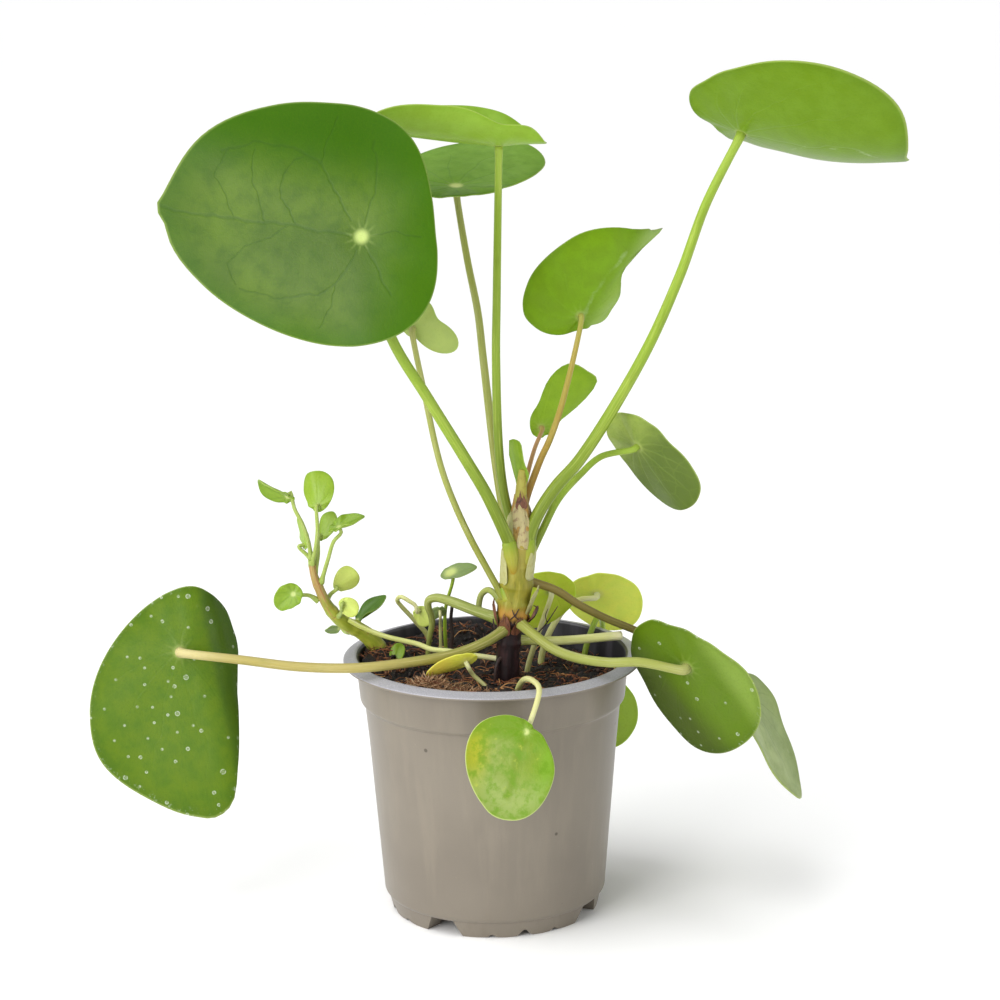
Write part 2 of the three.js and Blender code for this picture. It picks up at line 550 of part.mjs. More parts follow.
function soilSolid(stands) {
  const base = FOOT_HEIGHT + 1.6 + GAP;
  const flat = Math.cos(Math.PI / POT_SIDES); // the round wall's flats come in by this much
  const inside = (z) => (potInnerRadius(z) - 0.1) * flat - GAP;
  const shoulder = COLLAR_STEP_HEIGHT - 3;
  const top = (share, angle) => {
    const edge = inside(SOIL_LEVEL);
    const x = edge * share * Math.cos(angle);
    const y = edge * share * Math.sin(angle);
    return [x, y, Math.min(soilHeight(x, y), share === 1 ? LIP_TOP_HEIGHT - 1.5 : 200)];
  };
  const under = (share, angle) => {
    const radius = inside(shoulder) * share;
    return [radius * Math.cos(angle), radius * Math.sin(angle), shoulder];
  };
  const crown = toSolid(polarSolid(SOIL_SPOKES, SOIL_RINGS, top, under));
  const low = [[0, base], [inside(base + 1.2) - 1.6, base], [inside(base + 1.2), base + 1.2],
    [inside(shoulder), shoulder + 0.5], [0, shoulder + 0.5]];
  const plug = new THREE.LatheGeometry(low.map(([r, z]) => new THREE.Vector2(r, z)), SOIL_SPOKES);
  plug.rotateX(Math.PI / 2);
  plug.rotateZ(Math.PI / 2);
  let soil = crown.add(toSolid(plug));
  stands.forEach((stand) => {
    soil = soil.subtract(stand);
  });
  return soil;
}

// ---------- assembly ----------
const plant = new THREE.Group();

function place(name, geometry, color, roughness) {
  const mesh = new THREE.Mesh(geometry, new THREE.MeshStandardMaterial({ color, roughness, metalness: 0 }));
  mesh.name = name;
  plant.add(mesh);
}

const stepsFor = (line) => Math.max(5, Math.round(line.length * 1.6));
const stands = []; // the holes that stalks stand in
const rooted = (line) => Math.min(...line.map((p) => p[2])) < SOIL_LEVEL;

place('pot', toGeometry(potSolid()), '#9a917f', 0.55);

const stemSteps = 17;
const mainStem = toSolid(shapedBar(STEM_LINE, STEM_SIDES, stemSteps));
const stemClear = toSolid(shapedBar(STEM_LINE, STEM_SIDES, stemSteps, GAP));
stands.push(stemClear);
place('main_stem', toGeometry(mainStem), '#a9a04c', 0.5);

function placeStalk(name, line, thick, colour, clear) {
  const steps = stepsFor(line);
  let stalk = toSolid(bar(line, thick, STALK_SIDES, steps));
  clear.forEach((other) => {
    if (stalk.intersect(other).volume() > TOUCH) {
      stalk = stalk.subtract(other);
    }
  });
  if (rooted(line)) {
    stands.push(toSolid(bar(line, thick.map((r) => r + GAP), STALK_SIDES, steps)));
  }
  place(name, toGeometry(largest(stalk)), colour, 0.5);
}

LEAVES.forEach((leaf) => {
  const grid = leaf.large
    ? [LARGE_BLADE, LARGE_SPOKES, LARGE_RINGS]
    : [SMALL_BLADE, SMALL_SPOKES, SMALL_RINGS];
  const clear = toSolid(bladeGeometry(leaf, ...grid, GAP * 0.9));
  const line = [...leaf.stalk, ...stalkEnd(leaf, grid[0])];
  place(`${leaf.name}_blade`, bladeGeometry(leaf, ...grid), leaf.colour, 0.45);
  placeStalk(`${leaf.name}_stalk`, line, leaf.thick, leaf.stalkColour, [stemClear, clear]);
});

function smallLeaf(name, item, colour) {
  const leaf = { ...item, reach: oval(...item.size), folds: [[90, 0, 16, 4], [-90, 0, 16, 4]] };
  place(name, bladeGeometry(leaf, SMALL_BLADE, SMALL_SPOKES, SMALL_RINGS), colour, 0.45);
  const clear = toSolid(bladeGeometry(leaf, SMALL_BLADE, SMALL_SPOKES, SMALL_RINGS, GAP));
  return { leaf, clear };
}

const offshootSteps = 12;
const leafClear = [];
let offshoot = toSolid(shapedBar(OFFSHOOT_LINE, 8, offshootSteps));
const offshootClear = toSolid(shapedBar(OFFSHOOT_LINE, 8, offshootSteps, GAP));
stands.push(offshootClear);
OFFSHOOT_LEAVES.forEach((item, i) => {
  const colour = i + 1 === OFFSHOOT_DARK_LEAF ? GREEN.deep : GREEN.bright;
  const { leaf, clear } = smallLeaf(`offshoot_leaf_${i + 1}`, item, colour);
  const line = [...leaf.stalk, ...stalkEnd(leaf, SMALL_BLADE)];
  offshoot = offshoot.add(toSolid(bar(line, OFFSHOOT_STALK, OFFSHOOT_STALK_SIDES, OFFSHOOT_STALK_STEPS)));
  leafClear.push(clear);
});
leafClear.forEach((clear) => {
  offshoot = offshoot.subtract(clear);
});
offshoot = largest(offshoot);
place('offshoot_stem', toGeometry(offshoot), '#96963a', 0.5);

placeStalk('cut_stub', CUT_STUB.line, CUT_STUB.thick, STALK.pale, [stemClear]);
placeStalk('bent_stalk', BENT_STALK.line, BENT_STALK.thick, STALK.pale, [stemClear]);
placeStalk('arched_stalk', ARCHED_STALK.line, ARCHED_STALK.thick, STALK.pale, [stemClear]);
placeStalk('dry_twig', DRY_TWIG.line, DRY_TWIG.thick, '#3b2a22', []);
placeStalk('runner', RUNNER.line, RUNNER.thick, STALK.pale, [stemClear, offshootClear]);

[['looped', LOOPED], ['pale', PALE_LEAF]].forEach(([name, item]) => {
  const { leaf, clear } = smallLeaf(`${name}_leaf`, item, GREEN.pale);
  placeStalk(`${name}_stalk`, [...item.line, ...stalkEnd(leaf, SMALL_BLADE)], item.thick, STALK.pale,
    [clear]);
});
smallLeaf('apex_leaf', APEX_LEAF, GREEN.bright);
stands.push(smallLeaf('sprout', SPROUT, GREEN.bright).clear);

place('soil', toGeometry(soilSolid(stands)), '#33261c', 0.95);

export default plant;
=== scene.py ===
"""A potted pilea: leaves on long stalks, an upright stem, an offshoot, soil and a nursery pot."""
import itertools
import math

import bpy
import numpy as np
from mathutils import Matrix, Vector


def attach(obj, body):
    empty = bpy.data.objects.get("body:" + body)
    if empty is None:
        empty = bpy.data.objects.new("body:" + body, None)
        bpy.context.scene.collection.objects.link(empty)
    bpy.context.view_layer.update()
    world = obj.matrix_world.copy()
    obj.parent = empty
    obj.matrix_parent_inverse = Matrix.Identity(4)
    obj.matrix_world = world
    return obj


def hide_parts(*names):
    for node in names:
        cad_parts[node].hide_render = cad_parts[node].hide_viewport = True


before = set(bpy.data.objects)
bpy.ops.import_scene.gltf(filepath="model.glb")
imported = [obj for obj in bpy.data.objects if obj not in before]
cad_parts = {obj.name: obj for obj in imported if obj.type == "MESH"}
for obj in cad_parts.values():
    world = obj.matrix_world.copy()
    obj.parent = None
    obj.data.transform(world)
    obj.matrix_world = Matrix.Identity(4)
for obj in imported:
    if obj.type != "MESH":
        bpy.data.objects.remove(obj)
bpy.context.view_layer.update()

MM = 0.001

# ---------- sizes in millimetres, as in the solids ----------
GAP = 0.3
NECK = 3
TIP_SPREAD = 0.16
LARGE_BLADE = 0.8
SMALL_BLADE = 0.6
DIMPLE = 0.7
DIMPLE_RADIUS = 5.5
DIMPLE_SPAN = 50

LIP_RADIUS = 60
LIP_EDGE_HEIGHT = 104.4
LIP_INNER_RADIUS = 55.2
LIP_TOP_HEIGHT = 106
LIP_THICKNESS = 1.1
WALL = 1.1
COLLAR_TOP_RADIUS = 54.8
COLLAR_BOTTOM_RADIUS = 53.4
COLLAR_STEP_HEIGHT = 88
BODY_TOP_RADIUS = 51.6
BODY_BOTTOM_RADIUS = 45
FOOT_HEIGHT = 6.5
FOOT_OUTER_RADIUS = 42
FOOT_INNER_RADIUS = 34.5
FOOT_GAP_DEGREES = 13
FOOT_GAP_CENTRES = [-29, 61, 151, 241]
FOOT_NOTCHES = [(-17.8, 3, 1.4), (0, 4.2, 3), (17.8, 3, 1.4)]
DRAIN_RADIUS = 3.5
DRAIN_CIRCLE_RADIUS = 24
DRAIN_COUNT = 8

SOIL_LEVEL = 95.5
SOIL_BUMP = 0.9
SOIL_HEAPS = [(-46, 8, 9.5, 15), (-22, -42, 5.5, 15), (6, -18, 3.5, 12), (18, -44, 3, 12)]


def egg(length, width, dot_share, pointed=1.0, broad=0.0, samples=181, every=15):
    """Reach of a blade from its dot, at even angles from the tip. pointed: over 1 for sharper ends;
    broad: wider toward the tip; every: degrees from one reach to the next."""
    turn = np.linspace(0, math.pi, samples)
    along = length * (0.5 * np.cos(turn) + 0.5 - dot_share)
    across = width * 0.5 * np.sin(turn) ** pointed * (1 + broad * np.cos(turn))
    angles = np.arctan2(across, along)
    reach = np.hypot(across, along)
    half = [float(reach[np.argmin(np.abs(angles - math.radians(d)))]) for d in range(0, 181, every)]
    return half + half[-2:0:-1]


def oval(length, width, dot_share):
    return egg(length, width, dot_share, broad=-0.08, samples=97, every=45)


def both(start, turn, over):
    """The same fold on both sides of a blade."""
    return [[90, start, turn, over], [-90, start, turn, over]]


# Centre lines are points in mm; a fourth number is the radius there.
# A leaf: dot, where its stalk meets the blade; face, degrees round and up that the upper side looks;
# roll, degrees from its lowest point to the tip; thick, the stalk's radius from root to blade;
# rim, (degrees round from the tip, mm from the dot); or reach, mm from the dot at even angles;
# span, the blade's size in mm for the depth of its dot; folds, (side, start, turn, over).
STEM_LINE = [[5.5, -18, 84, 4.6], [6, -18, 102, 4.7], [6.5, -18, 114, 4.6], [7.5, -18, 121, 4.8],
             [8.5, -18, 126, 6.2], [9.5, -18, 134, 6.2], [10, -18, 139, 6.5], [10.5, -18, 147, 5.8],
             [11, -18, 154, 6], [11.5, -18, 162, 4.8], [12, -18, 169, 3.6], [12, -18, 175, 2.4]]

LEAVES = [
    dict(name="big_left", dot=[-46, -62, 283], face=[-12, 18], roll=-101, thick=[2.5, 1.8], span=77,
         folds=both(10, -12, 30) + [[180, 10, -10, 20]],
         rim=[(0, 79), (4, 80.5), (8, 76.5), (13, 74), (28, 63.5), (45, 53.5), (90, 41.5), (102, 40.5),
            (137, 38), (180, 29.5), (193, 28), (225, 30.5), (270, 45.5), (288, 51), (299, 54), (318, 62.5),
            (341, 74)],
         stalk=[[9, -20.5, 152], [5, -26, 163], [-1.5, -31, 178.5], [-9, -36, 193], [-23, -43, 218.5],
            [-36.5, -48, 243.5]]),
    dict(name="top_bowl", dot=[5, -6, 311], face=[180, 84], roll=90, thick=[1.9, 1.4], tip=1,
         folds=both(0, 65, 16) + [[0, 0, 8, 20]], reach=[56, 30, 15.5, 18, 18.5, 17, 20.5, 31],
         stalk=[[9, -16, 162], [6, -14.5, 172], [3.8, -13, 190], [3, -12, 227.5], [3.5, -11, 250.5],
            [4.5, -8, 289]]),
    dict(name="top_flat", dot=[-12, 22, 292], face=[4, 77], roll=156, thick=[1.8, 1.3], span=56,
         folds=both(5, -6, 25),
         rim=[(0, 58), (11, 55.5), (42, 42.5), (90, 28), (134, 20.5), (180, 14.5), (197, 14.5), (211, 13.5),
            (240, 13.5), (250, 14), (270, 18.5), (283, 19.5), (300, 25), (318, 37), (330, 47), (348, 56)],
         stalk=[[8.5, -13, 154], [5.5, -9, 165], [2.5, -6, 184], [-2, 3, 224.5], [-4, 8, 243],
            [-8, 14, 263.5]]),
    dict(name="upper_right", dot=[100.5, 15, 312.5], face=[138, 55], roll=-71, thick=[2.6, 1.7], span=68,
         folds=[[90, 0, 36, 28], [-90, 0, 16, 15], [0, 20, 16, 30]],
         rim=[(0, 67), (7, 65.5), (12, 66), (19, 60.5), (25, 57.5), (51, 45), (90, 23.5), (134, 14),
            (180, 14), (223, 26.5), (251, 30.5), (270, 37), (316, 65.5), (339, 70.5)],
         stalk=[[14, -19, 154], [18, -20, 166], [25.5, -20, 178], [35.5, -18, 189], [60.5, -8, 227.5],
            [75, 1, 257], [86, 8, 285]]),
    dict(name="folded_tip", dot=[36, 8, 241], face=[-163, -2], roll=-145, thick=[1.5, 1], span=33,
         sweep=[24, 21, 10], folds=[[90, 0, 45, 10], [-90, 0, 20, 20], [0, 24, 20, 14]],
         rim=[(0, 46), (2, 47), (6, 51), (8, 49), (14, 27), (18, 24), (26, 22), (43, 20.5), (56, 17.5),
            (68, 15.5), (90, 8), (104, 6.5), (134, 5.5), (180, 8), (224, 18.5), (238, 22), (247, 23),
            (270, 24.5), (324, 31.5), (347, 39.5), (353, 42), (358, 46)],
         stalk=[[12.5, -17.5, 168], [15, -15, 175], [20, -10, 187], [24, -7, 195], [29, -2, 208.5]]),
    dict(name="curled", dot=[20.5, 17, 194.5], face=[-165, 0], roll=-138, thick=[1, 0.8], small=True,
         span=27, folds=both(0, 30, 8),
         rim=[(0, 29.5), (12, 29.75), (33, 9.75), (42, 8), (57, 7.5), (90, 4.75), (142, 4.25), (180, 4.25),
            (270, 5.5), (300, 7.5), (310, 8.75), (320, 11.75), (331, 20.5), (342, 27.25)],
         stalk=[[11.5, -15, 166], [14, -9, 177.5], [18, 5, 188.5]]),
    dict(name="right_middle", dot=[59, -3, 191], face=[136, 25], roll=-47, thick=[1.6, 1.2], span=32.5,
         folds=both(0, 10, 20),
         rim=[(0, 31.75), (18, 32), (42, 30.5), (71, 20), (90, 16), (131, 15.5), (180, 15.75), (228, 15.25),
            (270, 15), (312, 19.25), (331, 25), (345, 30.25)],
         stalk=[[14, -14.5, 146], [20, -12, 158], [27, -9.5, 171], [35.5, -7, 180], [44, -5.5, 187]]),
    dict(name="behind_left", dot=[-28.5, -26, 242.5], face=[171, 5], roll=-65, thick=[1.4, 1.1], small=True,
         folds=both(0, 14, 8), reach=[18.5, 5, 3.5, 4, 6, 10, 12, 10.5],
         stalk=[[6, -19, 131], [-2, -20, 146.5], [-7.5, -21, 157.5], [-13.5, -22, 171.5], [-19, -23, 188],
            [-25, -24, 218]]),
    dict(name="low_left", dot=[-125.5, 0, 107.5], face=[178, -8], roll=-11, thick=[2.1, 1.8], span=67,
         folds=[[-90, 4, 60, 16]],
         rim=[(0, 69), (7, 67.5), (22, 62.5), (50, 54.5), (65, 46), (90, 33.5), (161, 23), (180, 24.5),
            (203, 27), (218, 26.5), (243, 27.5), (261, 26.5), (270, 27), (279, 27), (294, 26.5), (309, 29),
            (319, 31.5), (339, 44), (346, 53), (353, 65)],
         stalk=[[7, -20, 122], [-2.5, -26.5, 117.5], [-14.5, -30.5, 114], [-36, -33, 111],
            [-53, -33, 109.5], [-75.5, -25.5, 108], [-100, -13, 107.5]]),
    dict(name="low_right", dot=[76.5, -34.5, 109], face=[150, 14], roll=-32, thick=[2.1, 1.8], span=39,
         folds=[[90, 0, 20, 15], [-90, 0, -10, 20]],
         rim=[(0, 38), (42, 40.5), (56, 37.5), (90, 30), (126, 27.5), (165, 24.5), (180, 23), (194, 19.5),
            (214, 17), (270, 20), (316, 32.5)],
         stalk=[[9.5, -20, 125], [16, -27.5, 121], [24.5, -33, 116], [33.5, -36.5, 113.5], [45.5, -38, 112],
            [57.5, -38, 112]]),
    dict(name="far_right", dot=[105.5, 12, 81], face=[72, 28], roll=0, thick=[1.7, 1.4], tip=3,
         folds=both(0, 8, 20), reach=[43, 28, 21, 13, 8, 12, 20, 28],
         stalk=[[13, -16, 140], [25.5, -10, 134], [34.5, -6, 127], [45.5, -2, 120], [58, 2, 113.5],
            [80, 6, 102], [97, 9, 89.5]]),
    dict(name="yellow_back", dot=[44, 46, 118], face=[174, 32], roll=-26, thick=[1.4, 1.1],
         folds=both(0, 8, 10), reach=[25, 20, 15, 12, 11, 12, 15, 20],
         stalk=[[20, 16, 84], [20, 16, 98], [23, 18, 107.5], [30, 27, 116], [37, 38, 117]]),
    dict(name="back_bright", dot=[24, 9, 129], face=[-175, 25], roll=30, thick=[1.2, 1], small=True,
         folds=both(0, 10, 8), reach=oval(31, 25, 0.3),
         stalk=[[14, 0, 84], [14, 0, 97], [17, 1, 108], [21, 3, 119]]),
    dict(name="front", dot=[12.7, -72, 95], face=[-8, 10], roll=-8, thick=[1.3, 1], span=34,
         folds=both(5, 8, 15),
         rim=[(0, 34.5), (39, 20.75), (70, 9.25), (90, 6.25), (118, 3.25), (144, 3.5), (180, 4), (222, 7),
            (247, 11.75), (270, 18.25), (327, 30.25), (338, 32.75), (345, 34.5)],
         stalk=[[9.5, -36, 84], [9.5, -38, 99], [12, -46, 107.5], [15.5, -56, 110.5], [18, -64.5, 109]]),
    dict(name="behind_pot", dot=[46, 56, 68.5], face=[150, 8], roll=0, thick=[1.3, 1], small=True,
         folds=both(0, 14, 10), reach=oval(36, 32, 0.35),
         stalk=[[38, 24, 84], [38, 24, 97], [41, 29, 106], [44, 37, 109.5], [46, 44, 106], [46.5, 49, 95],
            [46.2, 52, 80]]),
    dict(name="in_pot_yellow", dot=[-10.5, -33, 112], face=[-150, 40], roll=75, thick=[1, 0.8], small=True,
         tip=1, folds=both(0, 16, 5), reach=oval(21, 11, 0.25),
         stalk=[[-1, -31, 88], [-1, -31, 98], [-7.5, -32, 106]]),
    dict(name="thin_left", dot=[-16.5, 12, 136], face=[-40, 60], roll=120, thick=[0.8, 0.7], small=True,
         tip=1, folds=both(0, 14, 4), reach=oval(15, 9, 0.3),
         stalk=[[-19, 24, 84], [-19, 24, 96], [-19, 19, 118]]),
]

OFFSHOOT_LINE = [[-43.5, 13, 88, 3.8], [-45, 12.5, 99, 3.8], [-48.5, 11.5, 107.5, 3.6],
                 [-54, 9.5, 113, 3.2], [-59.5, 6, 117, 2.9], [-64, 3, 122.5, 2.5], [-67, 0, 128.5, 2.1],
                 [-69, -1.5, 134, 1.9], [-70.5, -2.5, 138.5, 1.6], [-71.5, -3, 144, 1.4]]

OFFSHOOT_LEAVES = [
    dict(dot=[-80.5, -4, 171.5], face=[-33, -41], roll=-127, size=[17, 11, 0.2], shape=(1.4, 0.1, 34),
         skin="young_leaf_1",
         stalk=[[-71.5, -3.5, 146], [-72.5, -6, 154.5], [-74.5, -7, 161.5], [-77.5, -6, 167.5]]),
    dict(dot=[-68, -4, 168], face=[165, -12], roll=174, size=[16.5, 13, 0.15], shape=(1, 0.25, 20),
         skin="young_leaf_2", stalk=[[-71.5, -3, 143.5], [-69.5, -7, 151.5], [-68.5, -8, 159]]),
    dict(dot=[-67.5, 2, 154], face=[156, -23], roll=-162, size=[13, 7.5, 0.15], shape=(1.2, 0.2, 26),
         skin="young_leaf_1", stalk=[[-70.5, -2.5, 139.5], [-69, -1, 147]]),
    dict(dot=[-60, -10, 161], face=[-50, 65], roll=147, size=[16, 10, 0.3], shape=(1.5, 0, 40),
         skin="young_leaf_1", stalk=[[-68, -2, 136], [-64.5, -8, 147.5], [-62, -10, 155]]),
    dict(dot=[-74, 1, 151], face=[118, 7], roll=162, size=[13.5, 8, 0.15], shape=(1.2, 0.1, 30),
         skin="young_leaf_1", stalk=[[-71.5, -3, 143], [-72.5, -1, 146]]),
    dict(dot=[-79, -6, 132.5], face=[-9, 25], roll=-53, size=[12.5, 10.5, 0.3], shape=(1, -0.1, 30),
         skin="young_leaf_2", stalk=[[-69.5, 0, 128], [-73, -1, 130.5]]),
    dict(dot=[-62.5, 5, 132.5], face=[-169, 4], roll=-123, size=[11.5, 10, 0.1], shape=(1.1, 0.35, 22),
         skin="young_leaf_3", stalk=[[-66.5, 0.5, 127.5], [-64.5, 3, 130]]),
    dict(dot=[-59, -5, 128.5], face=[166, 1], roll=-46, size=[9, 8, 0.2], shape=(1.1, 0.1, 34),
         skin="young_leaf_3", stalk=[[-62, 3, 120.5], [-60, -3, 124]]),
    dict(dot=[-55, 14, 116], face=[-61, 51], roll=165, size=[17, 10, 0.08], shape=(1.5, 0, 34),
         skin="dark_young_leaf_9", stalk=[[-58, 7, 115], [-56, 12, 115]]),
    dict(dot=[-62, 15, 112], face=[9, -36], roll=-79, size=[7, 5, 0.1], shape=(1.4, 0, 30),
         skin="dark_young_leaf_10", stalk=[[-58, 9, 112.5], [-60, 13, 111.5]]),
]

BARE_STALKS = [  # piece, node, look, sides, steps, flare, thickness, line
    ("cut_old_stalk", "cut_stub", "cut", 18, 40, (0.3, 0), [1.8, 1.8], [[9, -15, 115], [27, -8, 112.5],
        [52, 2, 111.5]]),
    ("bent_old_stalk", "bent_stalk", "olive", 18, 80, (0.25, 0), [2.2, 2.1, 1.4, 1, 1], [[3.5, -18, 124.5],
        [-6.5, -14, 127], [-16, -9, 129.5], [-22, -5, 130], [-25, -3, 128.5], [-25.5, -2, 126],
        [-24.5, 0, 122], [-24, 2, 118], [-25, 5, 112], [-26, 8, 104], [-26, 9, 86]]),
    ("arched_old_stalk", "arched_stalk", "olive", 14, 40, (0.3, 0), [1.3, 1.2], [[4.5, -13, 128.5],
        [1, -10, 133], [-1.5, -7, 133.5], [-4, -5, 131], [-5, -5, 127], [-5, -7, 124]]),
    ("thin_runner", "runner", "cut", 14, 60, (0, 0), [1, 1.1], [[-57.5, 3, 119], [-53, 1, 117],
        [-43, -2, 113.5], [-29.5, -4, 110.5], [-24.5, -6, 109], [-17.5, -9, 109], [-7.5, -12, 108],
        [3, -16, 107.5]]),
]

DRY_TWIG = [[-16, 6, 123], [-16.5, 7, 117.5], [-16, 8, 111], [-16.5, 9, 106], [-16.5, 9, 88]]

LOOPED = dict(dot=[-29.5, 18, 118.5], face=[163, -3], roll=-32, size=[9, 8, 0.2], thick=[1.2, 0.8],
              line=[[-26, 31, 86], [-26, 29, 103], [-32, 24, 113], [-37, 20, 120], [-38.5, 18, 123],
                    [-37, 16, 125], [-33, 15, 123], [-31, 15, 121.5]])
PALE_LEAF = dict(dot=[-21, 10, 121], face=[-175, 40], roll=20, size=[9, 7, 0.3], thick=[0.7, 0.6],
                 line=[[-21, 18, 86], [-21, 18, 97], [-21, 14, 112]])
APEX_LEAF = dict(dot=[11.5, -18.5, 177.5], face=[-25, 9], roll=-168,
                 rim=[(0, 19.5), (5, 19.25), (18, 4), (20, 3.75), (35, 2.25), (55, 1.5), (90, 1), (180, 1),
                      (248, 2), (270, 2.5), (319, 7.25), (335, 11.75), (347, 18), (352, 18.5)])
SPROUT = dict(dot=[-39.5, 1, 102.4], face=[-10, 30], roll=165, size=[8.5, 6, 0.1])


# ---------- forms: vertices in millimetres, faces, and two values for the materials ----------
def form(points, faces, place, part):
    """place: where a point lies on the piece, in mm; part: one number, such as the side of a blade."""
    count = len(points)
    part = np.full(count, part, float) if np.isscalar(part) else np.asarray(part, float)
    return dict(points=np.asarray(points, float), faces=faces, place=np.asarray(place, float), part=part)


def joined(forms):
    """Several forms as one."""
    faces = []
    start = 0
    for item in forms:
        faces += [[corner + start for corner in face] for face in item["faces"]]
        start += len(item["points"])
    return dict(points=np.concatenate([f["points"] for f in forms]), faces=faces,
                place=np.concatenate([f["place"] for f in forms]),
                part=np.concatenate([f["part"] for f in forms]))


def new_object(name, shape, scale=1.0):
    """A mesh object made from a form, with the two values that the materials read."""
    mesh = bpy.data.meshes.new(name)
    mesh.from_pydata((shape["points"] * scale).tolist(), [], shape["faces"])
    mesh.attributes.new("place", "FLOAT_VECTOR", "POINT").data.foreach_set("vector", shape["place"].ravel())
    mesh.attributes.new("part", "FLOAT", "POINT").data.foreach_set("value", shape["part"])
    piece = bpy.data.objects.new(name, mesh)
    bpy.context.collection.objects.link(piece)
    return piece


def make(name, shape, material, node=None, sharp=None):
    piece = new_object(name, shape, MM)
    piece.data.materials.append(material)
    piece.data.shade_smooth()
    if sharp:
        piece.data.set_sharp_from_angle(angle=math.radians(sharp))
    if node:
        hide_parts(node)
    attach(piece, "root")


def ring(low, high, sides, turned=False):
    """Faces between two rings of corners; low and high are the rings' first corners."""
    faces = []
    for s in range(sides):
        n = (s + 1) % sides
        face = [low + s, low + n, high + n, high + s]
        faces.append(face[:1] + face[:0:-1] if turned else face)
    return faces


def fan(tip, start, sides, turned=False):
    """Faces between a ring of corners and the one corner in its middle."""
    return [[tip, start + s, start + (s + 1) % sides] if turned else [tip, start + (s + 1) % sides, start + s]
            for s in range(sides)]


def circle(count):
    return np.linspace(0, 2 * math.pi, count, endpoint=False)


# ---------- centre lines ----------
def spline(points, samples=400):
    """Points of the centripetal curve through the given ones, evenly spaced along its length."""
    p = np.asarray(points, float)
    ends = [2 * p[0] - p[1], 2 * p[-1] - p[-2]]
    p = np.concatenate([ends[:1], p, ends[1:]])
    dense = []
    per_span = 24
    for k in range(1, len(p) - 2):
        x0, x1, x2, x3 = p[k - 1:k + 3]
        dt0, dt1, dt2 = (max(float(np.sum((b - a)[:3] ** 2)) ** 0.25, 1e-4)
                         for a, b in ((x0, x1), (x1, x2), (x2, x3)))
        t1 = ((x1 - x0) / dt0 - (x2 - x0) / (dt0 + dt1) + (x2 - x1) / dt1) * dt1
        t2 = ((x2 - x1) / dt1 - (x3 - x1) / (dt1 + dt2) + (x3 - x2) / dt2) * dt1
        w = np.linspace(0, 1, per_span, endpoint=False)[:, None]
        dense.append(x1 + t1 * w + (3 * (x2 - x1) - 2 * t1 - t2) * w ** 2
                     + (2 * (x1 - x2) + t1 + t2) * w ** 3)
    dense = np.concatenate(dense + [p[-2:-1]])
    run = np.concatenate([[0], np.cumsum(np.linalg.norm(np.diff(dense[:, :3], axis=0), axis=1))])
    even = np.linspace(0, run[-1], samples + 1)
    return np.stack([np.interp(even, run, dense[:, i]) for i in range(dense.shape[1])], axis=1), run[-1]


def tube(line, radii, sides=14, steps=48, flare=(0, 0), flare_length=4, ripple=None, part=None):
    """A round bar with closed ends. radii: spread along it, or None where the line carries them.
    flare: how much wider it gets at its two ends. ripple(share, angle) gives a factor on the radius."""
    curve, length = spline(line, steps)
    share = np.linspace(0, 1, steps + 1)
    if radii is None:
        radius = curve[:, 3]
    else:
        radius = np.interp(share * (len(radii) - 1), range(len(radii)), radii)
    run = share * length
    radius = radius * (1 + flare[0] * np.exp(-(run / flare_length) ** 2)
                       + flare[1] * np.exp(-((length - run) / flare_length) ** 2))
    centre = curve[:, :3]
    tangent = np.gradient(centre, axis=0)
    tangent /= np.linalg.norm(tangent, axis=1)[:, None]
    side = np.cross(tangent[0], [0.3, 0.9, 0.2])
    points = []
    place = []
    angle = circle(sides)
    for i in range(steps + 1):
        side = side - tangent[i] * side.dot(tangent[i])
        side /= np.linalg.norm(side)
        other = np.cross(tangent[i], side)
        factor = 1 if ripple is None else ripple(share[i], angle)
        reach = (radius[i] * factor * np.ones(sides))[:, None]
        points.append(centre[i] + reach * (np.cos(angle)[:, None] * side + np.sin(angle)[:, None] * other))
        place.append(np.stack([np.full(sides, run[i]), np.cos(angle) * radius[i],
                               np.sin(angle) * radius[i]], 1))
    points = np.concatenate(points + [[centre[0] - tangent[0] * 0.1], [centre[-1] + tangent[-1] * 0.1]])
    place = np.concatenate(place + [[[0, 0, 0]], [[length, 0, 0]]])
    faces = []
    for i in range(steps):
        faces += ring(i * sides, (i + 1) * sides, sides)
    ends = (steps + 1) * sides
    faces += fan(ends, 0, sides) + fan(ends + 1, steps * sides, sides, turned=True)
    if part is None:
        part = np.concatenate([np.repeat(share, sides), [0, 1]])
    return form(points, faces, place, part)


# ---------- blades ----------
def reach_at(leaf, angle):
    """Reach of a blade's rim from its dot: a smooth closed curve through the rim's points."""
    rim = leaf.get("rim")
    if rim is None:
        even = 360 / len(leaf["reach"])
        rim = [(even * k, reach) for k, reach in enumerate(leaf["reach"])]
    turn = np.radians([degrees for degrees, _ in rim])
    turn = np.concatenate([turn - 2 * math.pi, turn, turn + 2 * math.pi])
    far = np.tile([reach for _, reach in rim], 3)
    slope = np.gradient(far, turn)
    i = np.searchsorted(turn, angle, side="right") - 1
    step = turn[i + 1] - turn[i]
    t = (angle - turn[i]) / step
    smooth = (far[i] * (1 + 2 * t) * (1 - t) ** 2 + far[i + 1] * (3 - 2 * t) * t ** 2
              + step * t * (1 - t) * (slope[i] * (1 - t) - slope[i + 1] * t))
    return smooth + leaf.get("tip", 0) * np.exp(-(np.minimum(angle, 2 * math.pi - angle) / TIP_SPREAD) ** 2)


